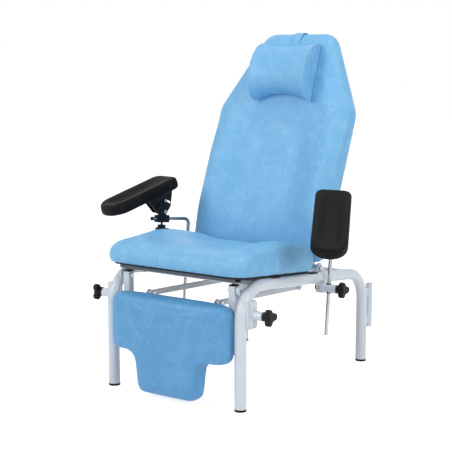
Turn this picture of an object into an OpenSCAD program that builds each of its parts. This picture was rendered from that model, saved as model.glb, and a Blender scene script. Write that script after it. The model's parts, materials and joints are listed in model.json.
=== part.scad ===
// Phlebotomy chair with a reclining back, a coupled leg section and two adjustable arm supports.
// The sitter faces -Y. The origin is on the floor, under the middle of the whole outline.

/* [Frame] */
// Spacing of the leg centres across the chair
leg_span = 537; // [500:1:580]
// Spacing of the front and rear leg centres
leg_reach = 790; // [740:5:820]
// Height of the top tube's centre line over the front leg
front_rise = 410; // [404:1:416]
// Height of the top tube's centre line over the rear leg
rear_rise = 336; // [326:1:342]
// Outer diameter of the frame tube
tube_d = 40; // [38:0.5:42]
// Wall of the frame tube
tube_wall = 2; // [1.5:0.1:3]
// Bend radius of the frame tube at its centre line
bend_r = 110; // [100:1:120]
// Outer diameter of the two cross tubes
cross_d = 30; // [25:1:32]
// Visible height of a foot cap
cap_h = 8; // [6:1:12]

/* [Seat] */
// Width of the seat cushion at its widest
seat_w = 576; // [548:2:588]
// Length of the seat cushion, front to rear
seat_l = 474; // [462:1:476]
// Distance that the seat reaches forward of the front legs
seat_nose = 27; // [22:1:32]
// Height of the middle of the seat cushion over the seat plane
seat_h = 82; // [66:1:88]
// Further height of the side bolsters at their highest
seat_bolster = 30; // [24:1:38]

/* [Back] */
// Width of the back cushion at the shoulders
back_w = 576; // [556:2:590]
// Width of the head end of the back cushion
head_w = 282; // [270:2:310]
// Length of the back cushion
back_l = 858; // [840:2:880]
// Lean of the back from upright at rest
back_lean = 21.7; // [20:0.1:24]
// Thickness of the back cushion along its sides
back_t = 78; // [72:1:80]
// Width of the head pillow
pillow_w = 262; // [240:2:270]
// Height of the head pillow
pillow_h = 230; // [220:2:240]
// Thickness of the head pillow
pillow_t = 92; // [80:1:96]

/* [Leg section] */
// Width of the leg cushion
leg_w = 488; // [460:2:490]
// Height of the leg cushion's top edge over the floor
leg_top = 346; // [340:1:350]
// Height of the leg cushion's shoulders over the floor
leg_shoulder = 150; // [140:1:160]
// Height of the leg cushion's lowest edge over the floor
leg_toe = 14; // [14:1:30]
// Thickness of the leg cushion
leg_t = 80; // [60:1:84]
// Width of the tongue at the foot of the leg cushion
tongue_w = 270; // [240:2:280]
// Side of the square posts of the leg frame
post_w = 25; // [22:1:28]

/* [Arm supports] */
// Length of an arm gutter
gutter_l = 312; // [280:2:320]
// Width of an arm gutter
gutter_w = 122; // [120:1:136]
// Thickness of an arm gutter at its rim
gutter_h = 42; // [38:1:46]
// Depth of the arm channel
channel_depth = 13; // [8:1:16]
// Diameter of the arm rods
rod_d = 14; // [13:0.5:14]
// Height of the rod's level part over the top tube's centre line
rod_rise = 161; // [150:1:175]
// Reach of the rod's level part
rod_reach = 172; // [168:1:184]
// Turn of the left rod outward from straight ahead
left_swing = 13; // [0:1:30]
// Turn of the right rod outward from straight ahead
right_swing = 29; // [20:1:40]
// Tilt of the left gutter below its rod
left_tilt = 22; // [0:1:40]
// Tilt of the right gutter below its rod
right_tilt = 38; // [20:1:50]
// Diameter across the lobes of a knob
knob_d = 60; // [54:1:64]
// Outer diameter of the drip stand socket
stand_d = 25; // [24:0.5:28]
// Length of the drip stand socket
stand_l = 165; // [140:5:190]

/* [Hidden] */

// Whole model: place of the outline's middle, overrun of cuts, gaps and roundness
plan_mid_x = 43;
plan_mid_y = 394.5;
over = 1;
run_gap = 0.06;
side_gap = 0.3;
round_proud = 0.05;
$fn = 48;
left = -1;
right = 1;

// Frame tube: slope of the top rail and the places of its bends
slope_rise = front_rise - rear_rise;
rail_slope = atan(slope_rise / leg_reach);
front_tangent = bend_r * tan((90 + rail_slope) / 2);
rear_tangent = bend_r * tan((90 - rail_slope) / 2);
rail_l = leg_reach / cos(rail_slope) - front_tangent - rear_tangent;
tube_bore = tube_d - 2 * tube_wall;
bend_draw = 0.15;
weld_lap = 0.1;
inner_x = leg_span / 2 - tube_d / 2;
plug_depth = 24;
plug_gap = 0.2;

// Cross tubes: places along the rail, and the flat pads that they butt against
cross_wall = 2;
front_cross_y = 150;
rear_cross_y = 690;
pad_t = 4;
pad_d = cross_d + 6;
cross_l = 2 * (inner_x - pad_t);

// Seat: rubber rests on the rail, board and its dark cross bar
rest_t = 2;
rest_w = 24;
rest_l = 50;
rest_front = 165;
rest_rear = 405;
seat_plane = front_rise + (tube_d / 2 + rest_t) / cos(rail_slope);
board_t = 12;
board_edge = 6;
seat_inset = 14;
board_gap = 0.3;
bar_w = 34;
bar_h = 13;
bar_y = 8;
bar_l = 484;
seat_mid_y = seat_l / 2 - seat_nose;
seat_radii = [60, 60, 60, 60];
board_radius_share = 0.8;
// Bolsters: place of their peak along the seat, its reach ahead and behind, start and run of their rise
seat_shares = [0.55, 0.29, 0.46, 0.16, 0.26];

// Hinges of the back and the leg section, in the plane of a side frame
back_pivot_y = 520;
back_pivot_z = 392;
leg_pivot_y = 28;
leg_pivot_z = 390;
pivot_bolt_d = 10;
pivot_head_d = 17;
pivot_head_h = 6;
hinge_t = 6;
hinge_w = 34;
hinge_sunk = tube_wall / 2;
hinge_face_x = inner_x + hinge_sunk;
back_end_x = inner_x - hinge_t - side_gap;

// Sync links between the leg section and the back
link_x = 144;
link_front_y = 54;
link_front_z = 333;
link_rear_y = 540;
link_rear_z = 309;
link_w = 18;
link_t = 12;
link_bolt_d = 8;
link_head_d = 13;
link_head_h = 5;
link_play = 3;
link_eye_d = 24;
ear_t = 4;
ear_w = 24;
fork_gap = link_t + 2 * side_gap;

// Back: uprights, board and the dish between the side bolsters
upright_x = 205;
upright_w = 25;
upright_l = 640;
back_bar_low = 120;
back_bar_high = 560;
back_rear = 13;
back_foot = 8;
back_top = back_foot + back_l;
back_mid_share = 0.46;
back_mid_v = back_foot + back_l * back_mid_share;
shoulder_up = 568;
back_foot_w = 568;
back_half_low = back_foot_w / 2;
back_radii = [44, 44, 90, 60, 60, 90];
// Dish: start and run of the bolsters' rise, run of the low foot and its drop, start and run of the flat head
back_shares = [0.3, 0.5, 0.16, 0.16, 0.55, 0.2];
back_dish = 24;
// Bolsters of the back: how far they stand out, start and run of their rise, start and run of their fall
back_bolster = 12;
bolster_shares = [0.08, 0.16, 0.42, 0.2];
back_inset = 22;
pivot_tube_d = 22;
strap_w = 38;
strap_t = 2.4;
strap_front_reach = 150;
strap_bend = 34;
strap_rear_bend = 18;
pillow_up = 690;
// Pillow: start and run of the round ends, dip of the waist above, below and in front, thin end, sag
pillow_shares = [0.95, 0.12, 0.11, 0.23, 0.14, 0.8, 0.1];
pillow_round_share = 0.8;

// Leg section: board and posts
leg_board_y = leg_pivot_y - post_w / 2;
post_x = 222;
post_top = 404;
post_foot = 176;
post_wall = 2;
leg_bar_z = 296;
leg_bar_low_z = 200;
leg_inset = 18;
leg_mid_share = 0.2;
leg_mid = leg_shoulder + (leg_top - leg_shoulder) * leg_mid_share;
leg_taper_share = 0.86;
leg_crown_share = 0.16;
leg_radii = [26, 26, 28, 28, 40, 40, 28, 28];
plug_t = 4;

// Sockets that carry the arm rods on the rail
arm_x = 315;
arm_y = 477;
arm_drop = 32;
arm_body_w = 34;
arm_body_in = 272;
arm_body_out = 300;
boss_d = 31;
boss_out = 347;
bush_d = 18;
bush_l = 34;
grip_gap = 0.4;
stud_d = 8;
plug_out = 9;
plug_d = 21;

// Sockets on the front legs
leg_socket_y = 30;
leg_socket_z = 316;
leg_base_h = 92;
flange_t = 5;
flange_h = 83;
flange_w = 40;
flange_x = 300;
leg_boss_l = 37;
socket_bore_d = 14.4;
socket_bore_x = 16;
screw_head_d = 11;
screw_head_h = 3;
screw_gap = 25;

// Knobs
hub_d = 30;
hub_h = 16;
lobe_d = 25;
lobe_h = 20;
lobe_round = 5;
lobe_rise = 0.5;
knob_stand = 4;

// Arm rod, carriage, yoke and gutter bracket, measured from the rod's level axis
rod_drop = 197;
rod_bend_r = 21;
rod_cap_h = 5;
carriage_at = 128;
carriage_l = 54;
carriage_w = 22;
carriage_h = 27;
yoke_t = carriage_w;
yoke_w = 24;
pivot_rise = 26;
yoke_arm_r = 42;
cheek_t = 3;
cheek_gap = 0.3;
cheek_half_top = 65;
cheek_h = 77;
cheek_half_mid = 34;
cheek_mid_h = 10;
cheek_half_foot = 9;
cheek_foot_h = 7.5;
slot_from = -56;
slot_to = 42;
slot_w = 7;
lock_pin_d = 6;
lock_head_d = 11;
lock_head_h = 3;
bracket_plate_t = 3;
bolt_d = 10;
bolt_head_d = 17;
bolt_head_h = 7;
bolt_nut_h = 8;
gutter_tail = 70;
gutter_radii = [26, 26, 56, 56];
// Channel of a gutter: start and run of its sides across, runs of its two ends along the gutter
channel_shares = [0.25, 0.5, 0.4, 0.25];
carriage_knob_drop = 5;

// Drip stand socket behind the right rear leg
stand_wall = 2.5;
stand_gap_y = 57;
stand_foot = 122;
stand_web_t = 6;
stand_web_w = 30;
stand_floor = 3;

// Everything is placed from the middle of the outline
module placed() {
    translate([-plan_mid_x, -plan_mid_y, 0]) children();
}

// Local frames: along the sloping rail, on the seat plane, on the back and on the leg board
module on_rail() {
    placed() translate([0, 0, front_rise]) rotate([-rail_slope, 0, 0]) children();
}

module on_seat() {
    placed() translate([0, 0, seat_plane]) rotate([-rail_slope, 0, 0]) children();
}

module on_back() {
    placed() translate([0, back_pivot_y, back_pivot_z]) rotate([90 - back_lean, 0, 0]) children();
}

module on_leg() {
    placed() translate([0, leg_board_y, 0]) rotate([90, 0, 0]) children();
}

// A shape drawn in the side view, y to the rear and z up, given a thickness across the chair
module side_plate(x_from, x_to) {
    translate([x_from, 0, 0]) rotate([90, 0, 90]) linear_extrude(x_to - x_from) children();
}

// A cylinder along X between two places
module cross_pin(x_from, x_to, y, z, d) {
    translate([x_from, y, z]) rotate([0, 90, 0]) cylinder(h = x_to - x_from, d = d);
}

// A flat bar in the side view with round ends that stand a hair proud of it
module strap_2d(from, to, w) {
    run = to - from;
    flat = w - 2 * round_proud;
    translate(from) rotate(atan2(run.y, run.x)) translate([0, -flat / 2]) square([norm(run), flat]);
    translate(from) circle(d = w);
    translate(to) circle(d = w);
}

// Height of the rail's centre line over the floor
function rail_z(y) = front_rise - y * slope_rise / leg_reach;

// Closed skin over rings of equal count that run anticlockwise seen from the last ring.
// With two mids the end rings are closed by fans about them, otherwise by strips across the ring.
module skin(rings, mids = []) {
    k = len(rings[0]);
    n = len(rings);
    last = (n - 1) * k;
    low = len(mids) > 0
        ? [for (i = [0 : k - 1]) [n * k, i, (i + 1) % k]]
        : concat(
            [for (i = [0 : k / 2 - 2]) [i, i + 1, k - 1 - i]],
            [for (i = [1 : k / 2 - 1]) [i, k - 1 - i, k - i]]);
    high = len(mids) > 0
        ? [for (i = [0 : k - 1]) [n * k + 1, last + (i + 1) % k, last + i]]
        : [for (f = low) [last + f[2], last + f[1], last + f[0]]];
    polyhedron(
        points = concat([for (ring = rings) for (p = ring) p], mids),
        faces = concat(
            low,
            [for (j = [0 : n - 2]) for (i = [0 : k - 1]) for (f = side_faces(j * k, i, k)) f],
            high
        )
    );
}

function side_faces(base, i, k) =
    let (a = base + i, b = base + (i + 1) % k, c = b + k, d = a + k)
    [[a, d, c], [a, c, b]];

// Outline with round corners, and the same outline with more points on its long sides, from inside a corner
function unit(v) = v / norm(v);
function corner_arc(a, b, c, r, steps) =
    let (
        u = unit(a - b),
        w = unit(c - b),
        half = acos(u * w) / 2,
        mid = b + unit(u + w) * r / sin(half),
        start = b + u * r / tan(half) - mid,
        finish = b + w * r / tan(half) - mid,
        from = atan2(start.y, start.x),
        swing = (atan2(finish.y, finish.x) - from + 540) % 360 - 180
    )
    [for (i = [0 : steps]) let (t = from + swing * i / steps) mid + r * [cos(t), sin(t)]];
function round_outline(corners, radii, steps) =
    let (n = len(corners))
    [for (k = [0 : n - 1])
        each corner_arc(corners[(k + n - 1) % n], corners[k], corners[(k + 1) % n], radii[k], steps)];
function filled_outline(points, most) =
    let (n = len(points))
    [for (k = [2 : n + 1])
        let (p = points[k % n], q = points[(k + 1) % n], parts = ceil(norm(q - p) / most))
        for (i = [0 : parts - 1]) p + (q - p) * i / parts];

// Rings of a cushion over an outline: shares of the outline's size and of the height above each point
cushion_shares = [
    [0.972, 0], [0.992, 0.12], [1, 0.28], [1, 0.5], [0.99, 0.68], [0.968, 0.83],
    [0.935, 0.93], [0.88, 0.98], [0.79, 1], [0.64, 1], [0.46, 1], [0.26, 1], [0.07, 1]
];
gutter_shares = [
    [0.93, 0], [0.975, 0.06], [1, 0.22], [1, 0.6], [0.985, 0.82], [0.95, 0.95],
    [0.9, 1], [0.84, 1], [0.74, 1], [0.6, 1], [0.44, 1], [0.26, 1], [0.08, 1]
];
function cushion_rings(outline, mid_y, foot, height_at, shares = cushion_shares) =
    [for (s = shares)
        [for (p = outline)
            let (x = p.x * s[0], y = mid_y + (p.y - mid_y) * s[0])
            [x, y, foot + s[1] * (height_at(x, y) - foot)]]];
function cushion_mids(mid_y, foot, height_at) = [[0, mid_y, foot], [0, mid_y, height_at(0, mid_y)]];
function ease(t) = let (c = min(max(t, 0), 1)) c * c * (3 - 2 * c);

// Side frame

// Wall of a tube, seen from its end
module tube_wall_2d(d) {
    difference() {
        circle(d = d);
        circle(d = d - 2 * tube_wall);
    }
}

// Inverted U of round tube: the tube draws in a little where it is bent
module frame_run() {
    front_top = front_rise - front_tangent;
    rear_top = rear_rise - rear_tangent;
    bend_d = tube_d - 2 * bend_draw;
    translate([0, 0, cap_h]) linear_extrude(front_top - cap_h + weld_lap) tube_wall_2d(tube_d);
    translate([0, leg_reach, cap_h]) linear_extrude(rear_top - cap_h + weld_lap) tube_wall_2d(tube_d);
    translate([0, bend_r, front_top]) rotate([90, 0, 90]) rotate([0, 0, 90 - rail_slope])
        rotate_extrude(angle = 90 + rail_slope) translate([bend_r, 0]) tube_wall_2d(bend_d);
    translate([0, leg_reach - bend_r, rear_top]) rotate([90, 0, 90])
        rotate_extrude(angle = 90 - rail_slope) translate([bend_r, 0]) tube_wall_2d(bend_d);
    translate([0, 0, front_rise]) rotate([-rail_slope, 0, 0])
        translate([0, front_tangent - weld_lap, 0]) rotate([-90, 0, 0])
        linear_extrude(rail_l + 2 * weld_lap) tube_wall_2d(tube_d);
}

// Welded hinge plates on the inner side of the tube, sunk by half the tube's wall
module hinge_plates() {
    from = -tube_d / 2 - hinge_t;
    difference() {
        side_plate(from, -tube_d / 2 + hinge_sunk) {
            strap_2d([back_pivot_y, back_pivot_z], [back_pivot_y - hinge_w, rail_z(back_pivot_y)], hinge_w);
            strap_2d([back_pivot_y, back_pivot_z], [back_pivot_y + hinge_w, rail_z(back_pivot_y)], hinge_w);
            strap_2d([leg_pivot_y, leg_pivot_z], [leg_pivot_y + hinge_w, leg_pivot_z - hinge_w / 2], hinge_w);
        }
        cross_pin(from - over, 0, back_pivot_y, back_pivot_z, pivot_bolt_d + 2 * run_gap);
        cross_pin(from - over, 0, leg_pivot_y, leg_pivot_z, pivot_bolt_d + 2 * run_gap);
    }
}

// Welded pads that the cross tubes butt against
module cross_pads() {
    for (y = [front_cross_y, rear_cross_y]) difference() {
        cross_pin(-tube_d / 2 - pad_t, -tube_wall, y, rail_z(y), pad_d);
        translate([0, y - tube_d, rail_z(y - tube_d)]) rotate([-90 - rail_slope, 0, 0])
            cylinder(h = 2 * tube_d, d = tube_d - tube_wall);
    }
}

module side_frame(side) {
    color([0.86, 0.89, 0.94]) placed() mirror([side == left ? 1 : 0, 0, 0])
        translate([leg_span / 2, 0, 0]) {
            frame_run();
            hinge_plates();
            cross_pads();
        }
}

module foot_caps() {
    color([0.07, 0.07, 0.08]) placed()
        for (x = [-leg_span / 2, leg_span / 2]) for (y = [0, leg_reach]) translate([x, y, 0]) {
            cylinder(h = cap_h, d = tube_d);
            translate([0, 0, cap_h]) cylinder(h = plug_depth, d = tube_bore - 2 * plug_gap);
        }
}

module cross_tube(y) {
    color([0.86, 0.89, 0.94]) placed() difference() {
        cross_pin(-cross_l / 2, cross_l / 2, y, rail_z(y), cross_d);
        cross_pin(-cross_l / 2 - over, cross_l / 2 + over, y, rail_z(y), cross_d - 2 * cross_wall);
    }
}

module front_cross_tube() {
    cross_tube(front_cross_y);
}

module rear_cross_tube() {
    cross_tube(rear_cross_y);
}

// Rubber rests between the rail and the seat board
module seat_rests() {
    color([0.1, 0.1, 0.11]) on_rail()
        for (x = [-leg_span / 2, leg_span / 2]) for (y = [rest_front, rest_rear])
            difference() {
                translate([x - rest_w / 2, y, 0]) cube([rest_w, rest_l, tube_d / 2 + rest_t]);
                translate([x, y - over, 0]) rotate([-90, 0, 0])
                    cylinder(h = rest_l + 2 * over, d = tube_d);
                translate([x - rest_w, y - over, -over])
                    cube([2 * rest_w, rest_l + 2 * over, over + tube_d / 2 - rest_t]);
            }
}

// Seat

function seat_corners(inset) = [
    [-seat_w / 2 + inset, inset - seat_nose], [seat_w / 2 - inset, inset - seat_nose],
    [seat_w / 2 - inset, seat_l - seat_nose - inset], [-seat_w / 2 + inset, seat_l - seat_nose - inset]
];
function seat_top(x, y) =
    let (
        peak = seat_shares[0] * seat_l - seat_nose,
        reach = (y < peak ? seat_shares[1] : seat_shares[2]) * seat_l,
        run = (y - peak) / reach,
        out = ease((abs(x) / seat_w - seat_shares[3]) / seat_shares[4])
    )
    seat_h + seat_bolster * out * exp(-run * run);

module seat_front_bar() {
    color([0.32, 0.34, 0.38]) on_seat() difference() {
        translate([-bar_l / 2, bar_y, -bar_h]) cube([bar_l, bar_w, bar_h]);
        translate([-bar_l / 2 - over, bar_y + post_wall, -bar_h + post_wall])
            cube([bar_l + 2 * over, bar_w - 2 * post_wall, bar_h - 2 * post_wall]);
    }
}

module seat_board() {
    color([0.08, 0.08, 0.09]) on_seat() linear_extrude(board_t)
        polygon(round_outline(seat_corners(seat_inset), board_radius_share * seat_radii, 8));
}

module seat_cushion() {
    outline = filled_outline(round_outline(seat_corners(0), seat_radii, 5), seat_l / 11);
    face = function (x, y) seat_top(x, y);
    color([0.42, 0.68, 0.88]) on_seat() difference() {
        skin(cushion_rings(outline, seat_mid_y, board_edge, face), cushion_mids(seat_mid_y, board_edge, face));
        translate([0, 0, board_edge - over]) linear_extrude(board_t - board_edge + over + board_gap)
            polygon(round_outline(seat_corners(seat_inset - board_gap), board_radius_share * seat_radii, 8));
    }
}

// Back

module back_frame() {
    plate_from = upright_x - upright_w / 2;
    color([0.86, 0.89, 0.94]) {
        on_back() for (side = [left, right]) difference() {
            translate([side * upright_x - upright_w / 2, -upright_w / 2, -upright_w / 2])
                cube([upright_w, upright_l, upright_w]);
            translate([side * upright_x - upright_w / 2 + post_wall, 0, -upright_w / 2 + post_wall])
                cube([upright_w - 2 * post_wall, upright_l, upright_w - 2 * post_wall]);
        }
        on_back() for (v = [back_bar_low, back_bar_high])
            translate([-plate_from, v, -upright_w / 2]) cube([2 * plate_from, upright_w, upright_w]);
        placed() difference() {
            cross_pin(-back_end_x, back_end_x, back_pivot_y, back_pivot_z, pivot_tube_d);
            for (side = [left, right]) translate([side * back_end_x, 0, 0])
                cross_pin(-2 * pivot_tube_d, 2 * pivot_tube_d, back_pivot_y, back_pivot_z,
                    pivot_bolt_d + 2 * run_gap);
        }
        placed() for (side = [left, right]) for (gap_side = [left, right])
            translate([side * link_x + gap_side * (fork_gap + ear_t) / 2, 0, 0])
                difference() {
                    side_plate(-ear_t / 2, ear_t / 2)
                        strap_2d([back_pivot_y, back_pivot_z], [link_rear_y, link_rear_z], ear_w);
                    cross_pin(-ear_t, ear_t, link_rear_y, link_rear_z, link_bolt_d + 2 * run_gap);
                }
    }
}

module back_pivot_bolts() {
    color([0.2, 0.2, 0.22]) placed() for (side = [left, right])
        mirror([side == left ? 1 : 0, 0, 0]) {
            cross_pin(back_end_x - pivot_tube_d, hinge_face_x, back_pivot_y, back_pivot_z, pivot_bolt_d);
            cross_pin(hinge_face_x, hinge_face_x + pivot_head_h, back_pivot_y, back_pivot_z, pivot_head_d);
        }
}

function back_corners(inset) = [
    [-back_foot_w / 2 + inset, back_foot + inset], [back_foot_w / 2 - inset, back_foot + inset],
    [back_w / 2 - inset, shoulder_up], [head_w / 2 - inset, back_top - inset],
    [-head_w / 2 + inset, back_top - inset], [-back_w / 2 + inset, shoulder_up]
];
function back_half(v) =
    v < shoulder_up
        ? back_half_low + (back_w / 2 - back_half_low) * (v - back_foot) / (shoulder_up - back_foot)
        : back_w / 2 - (back_w - head_w) / 2 * (v - shoulder_up) / (back_top - shoulder_up);
function back_face(x, v) =
    let (
        out = ease((abs(x) / back_half(v) - back_shares[0]) / back_shares[1]),
        low = ease((v - back_foot) / (back_shares[2] * back_l)),
        high = ease((v / back_l - back_shares[4]) / back_shares[5]),
        rise = ease((v / back_l - bolster_shares[0]) / bolster_shares[1]),
        fall = ease((v / back_l - bolster_shares[2]) / bolster_shares[3])
    )
    back_rear + back_t - back_dish * (1 - out) * (1 - high) - back_shares[3] * back_t * (1 - low)
        + back_bolster * out * rise * (1 - fall);

module back_board() {
    color([0.12, 0.12, 0.13]) on_back() translate([0, 0, upright_w / 2]) linear_extrude(board_t)
        polygon(round_outline(back_corners(back_inset), board_radius_share * back_radii, 8));
}

module back_cushion() {
    outline = filled_outline(round_outline(back_corners(0), back_radii, 5), back_l / 12);
    foot = upright_w / 2 + board_edge;
    face = function (x, v) back_face(x, v);
    color([0.42, 0.68, 0.88]) on_back() difference() {
        skin(cushion_rings(outline, back_mid_v, foot, face), cushion_mids(back_mid_v, foot, face));
        translate([0, 0, upright_w / 2 + board_edge - over])
            linear_extrude(board_t - board_edge + over + board_gap)
            polygon(round_outline(back_corners(back_inset - board_gap), board_radius_share * back_radii, 8));
    }
}

// Strap over the head end, from behind the pillow to the rear of the back
module head_strap() {
    face = back_rear + back_t + side_gap;
    top = back_top + side_gap;
    rear = upright_w / 2 - side_gap - strap_t;
    color([0.42, 0.68, 0.88]) on_back() translate([-strap_w / 2, 0, 0]) rotate([90, 0, 90])
        linear_extrude(strap_w) difference() {
            strap_side(face + strap_t, top + strap_t, rear, strap_bend + strap_t, strap_rear_bend + strap_t);
            strap_side(face, top, rear + strap_t, strap_bend, strap_rear_bend);
        }
}

// Side view of the space inside the strap: along the back and off its rear face
module strap_side(front_n, top_v, rear_n, r, rear_r) {
    difference() {
        translate([top_v - strap_front_reach, rear_n]) square([strap_front_reach, front_n - rear_n]);
        translate([top_v - r, front_n - r]) difference() {
            square(r + over);
            circle(r);
        }
        translate([top_v - rear_r, rear_n - over]) difference() {
            square(rear_r + over);
            translate([0, rear_r + over]) circle(rear_r);
        }
    }
}

module upright_plugs() {
    color([0.07, 0.07, 0.08]) on_back() for (side = [left, right])
        translate([side * upright_x - upright_w / 2, upright_l - upright_w / 2, -upright_w / 2])
            cube([upright_w, plug_t, upright_w]);
}

module lever_bolts() {
    half = fork_gap / 2 + ear_t;
    color([0.15, 0.15, 0.16]) placed() for (side = [left, right]) translate([side * link_x, 0, 0]) {
        cross_pin(-half, half, link_rear_y, link_rear_z, link_bolt_d);
        for (end = [-half - link_head_h, half])
            cross_pin(end, end + link_head_h, link_rear_y, link_rear_z, link_head_d);
    }
}

// Head pillow: wide full ends and a narrow waist, flat behind, rounder below than above
module head_pillow() {
    stations = 14;
    around = 28;
    half = pillow_w / 2;
    seat_n = back_rear + back_t + strap_t + 2 * side_gap;
    rings = [for (s = [0 : stations])
        let (
            x = -half + pillow_w * s / stations,
            out = abs(x) / half,
            end = sqrt(1 - pow(min(max((out - pillow_shares[0]) / pillow_shares[1], 0), 1), 2)),
            dip = 1 - out * out,
            above = pillow_h / 2 * (1 - pillow_shares[2] * dip) * end,
            below = pillow_h / 2 * (1 - pillow_shares[3] * dip) * end,
            deep = pillow_t * (1 - pillow_shares[4] * dip) * (1 - pillow_shares[5] * (1 - end))
        )
        [for (i = [0 : around - 1])
            let (
                t = 360 * i / around,
                c = cos(t),
                n = deep * pow(max(sin(t), 0), pillow_round_share),
                sag = pillow_shares[6] * above * n / deep
            )
            [x, pillow_up - c * (c > 0 ? below : above) - sag, seat_n + n]]];
    color([0.42, 0.68, 0.88]) on_back() skin(rings);
}

// Leg section

module leg_frame() {
    bar_from = post_x - post_w / 2;
    color([0.86, 0.89, 0.94]) placed() {
        for (side = [left, right]) difference() {
            translate([side * post_x - post_w / 2, leg_board_y, post_foot])
                cube([post_w, post_w, post_top - post_foot]);
            translate([side * post_x - post_w / 2 + post_wall, leg_board_y + post_wall, post_foot - over])
                cube([post_w - 2 * post_wall, post_w - 2 * post_wall, post_top - post_foot + 2 * over]);
            translate([side * post_x, 0, 0]) cross_pin(-post_w, post_w, leg_pivot_y, leg_pivot_z,
                pivot_bolt_d + 2 * run_gap);
        }
        for (z = [leg_bar_z, leg_bar_low_z])
            translate([-bar_from, leg_board_y, z - post_w / 2]) cube([2 * bar_from, post_w, post_w]);
        for (side = [left, right]) for (gap_side = [left, right])
            translate([side * link_x + gap_side * (fork_gap + ear_t) / 2, 0, 0]) difference() {
                side_plate(-ear_t / 2, ear_t / 2) union() {
                    strap_2d([leg_pivot_y, leg_bar_z + post_w / 2], [link_front_y, link_front_z], ear_w);
                    translate([leg_pivot_y, leg_bar_z]) square([post_w, post_w], center = true);
                }
                cross_pin(-ear_t, ear_t, link_front_y, link_front_z, link_bolt_d + 2 * run_gap);
            }
    }
}

module leg_pivot_bolts() {
    from = post_x - post_w / 2;
    color([0.2, 0.2, 0.22]) placed() for (side = [left, right])
        mirror([side == left ? 1 : 0, 0, 0]) {
            cross_pin(from - pivot_head_h, hinge_face_x, leg_pivot_y, leg_pivot_z, pivot_bolt_d);
            cross_pin(from - pivot_head_h - side_gap, from - side_gap, leg_pivot_y, leg_pivot_z, pivot_head_d);
        }
}

module leg_post_plugs() {
    color([0.07, 0.07, 0.08]) placed() for (side = [left, right])
        translate([side * post_x - post_w / 2, leg_board_y, post_top]) {
            cube([post_w, post_w, plug_t]);
            translate([post_wall + plug_gap, post_wall + plug_gap, -plug_t])
                cube([post_w - 2 * (post_wall + plug_gap), post_w - 2 * (post_wall + plug_gap), plug_t]);
        }
}

function leg_corners(inset) = [
    [-tongue_w / 2 * leg_taper_share + inset, leg_toe + inset],
    [tongue_w / 2 * leg_taper_share - inset, leg_toe + inset],
    [tongue_w / 2 - inset, leg_shoulder + inset],
    [leg_w / 2 - inset, leg_shoulder + inset],
    [leg_w / 2 - inset, leg_top - inset],
    [-leg_w / 2 + inset, leg_top - inset],
    [-leg_w / 2 + inset, leg_shoulder + inset],
    [-tongue_w / 2 + inset, leg_shoulder + inset]
];

module leg_board() {
    color([0.12, 0.12, 0.13]) on_leg() linear_extrude(board_t)
        polygon(round_outline(leg_corners(leg_inset), board_radius_share * leg_radii, 6));
}

module leg_cushion() {
    outline = filled_outline(round_outline(leg_corners(0), leg_radii, 4), leg_w / 9);
    face = function (x, y) board_edge + leg_t * (1 - leg_crown_share * pow(abs(x) / leg_w * 2, 2));
    color([0.42, 0.68, 0.88]) on_leg() difference() {
        skin(cushion_rings(outline, leg_mid, board_edge, face), cushion_mids(leg_mid, board_edge, face));
        translate([0, 0, board_edge - over]) linear_extrude(board_t - board_edge + over + board_gap)
            polygon(round_outline(leg_corners(leg_inset - board_gap), board_radius_share * leg_radii, 6));
    }
}

module leg_ear_bolts() {
    half = fork_gap / 2 + ear_t;
    color([0.15, 0.15, 0.16]) placed() for (side = [left, right]) translate([side * link_x, 0, 0]) {
        cross_pin(-half, half, link_front_y, link_front_z, link_bolt_d);
        for (end = [-half - link_head_h, half])
            cross_pin(end, end + link_head_h, link_front_y, link_front_z, link_head_d);
    }
}

// Link bar: close bore in front, wide bore at the rear lever
module sync_link(side) {
    color([0.86, 0.89, 0.94]) placed() translate([side * link_x, 0, 0]) difference() {
        side_plate(-link_t / 2, link_t / 2) {
            strap_2d([link_front_y, link_front_z], [link_rear_y, link_rear_z], link_w);
            translate([link_rear_y, link_rear_z]) circle(d = link_eye_d);
        }
        cross_pin(-link_t, link_t, link_front_y, link_front_z, link_bolt_d + 2 * run_gap);
        cross_pin(-link_t, link_t, link_rear_y, link_rear_z, link_bolt_d + 2 * link_play);
    }
}

// Sockets

// Arm socket: box with a round nose, hung under the rail and bored for the upright rod
module arm_socket(side) {
    color([0.86, 0.89, 0.94]) on_rail() mirror([side == left ? 1 : 0, 0, 0])
        difference() {
            union() {
                translate([arm_body_in, arm_y - arm_body_w / 2, -arm_drop - arm_body_w / 2])
                    cube([arm_body_out - arm_body_in, arm_body_w, arm_body_w]);
                cross_pin(arm_body_out, boss_out, arm_y, -arm_drop, boss_d);
            }
            translate([leg_span / 2, arm_y - arm_body_w, 0]) rotate([-90, 0, 0])
                cylinder(h = 2 * arm_body_w, d = tube_d);
            translate([arm_x, arm_y, -arm_drop - boss_d]) cylinder(h = 2 * boss_d, d = bush_d + 2 * run_gap);
            cross_pin(arm_x, boss_out + over, arm_y, -arm_drop, stud_d + 2 * run_gap);
        }
}

module arm_socket_plugs() {
    color([0.07, 0.07, 0.08]) on_rail() for (side = [left, right])
        mirror([side == left ? 1 : 0, 0, 0])
            cross_pin(arm_body_in - plug_out, arm_body_in, arm_y, -arm_drop, plug_d);
}

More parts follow.
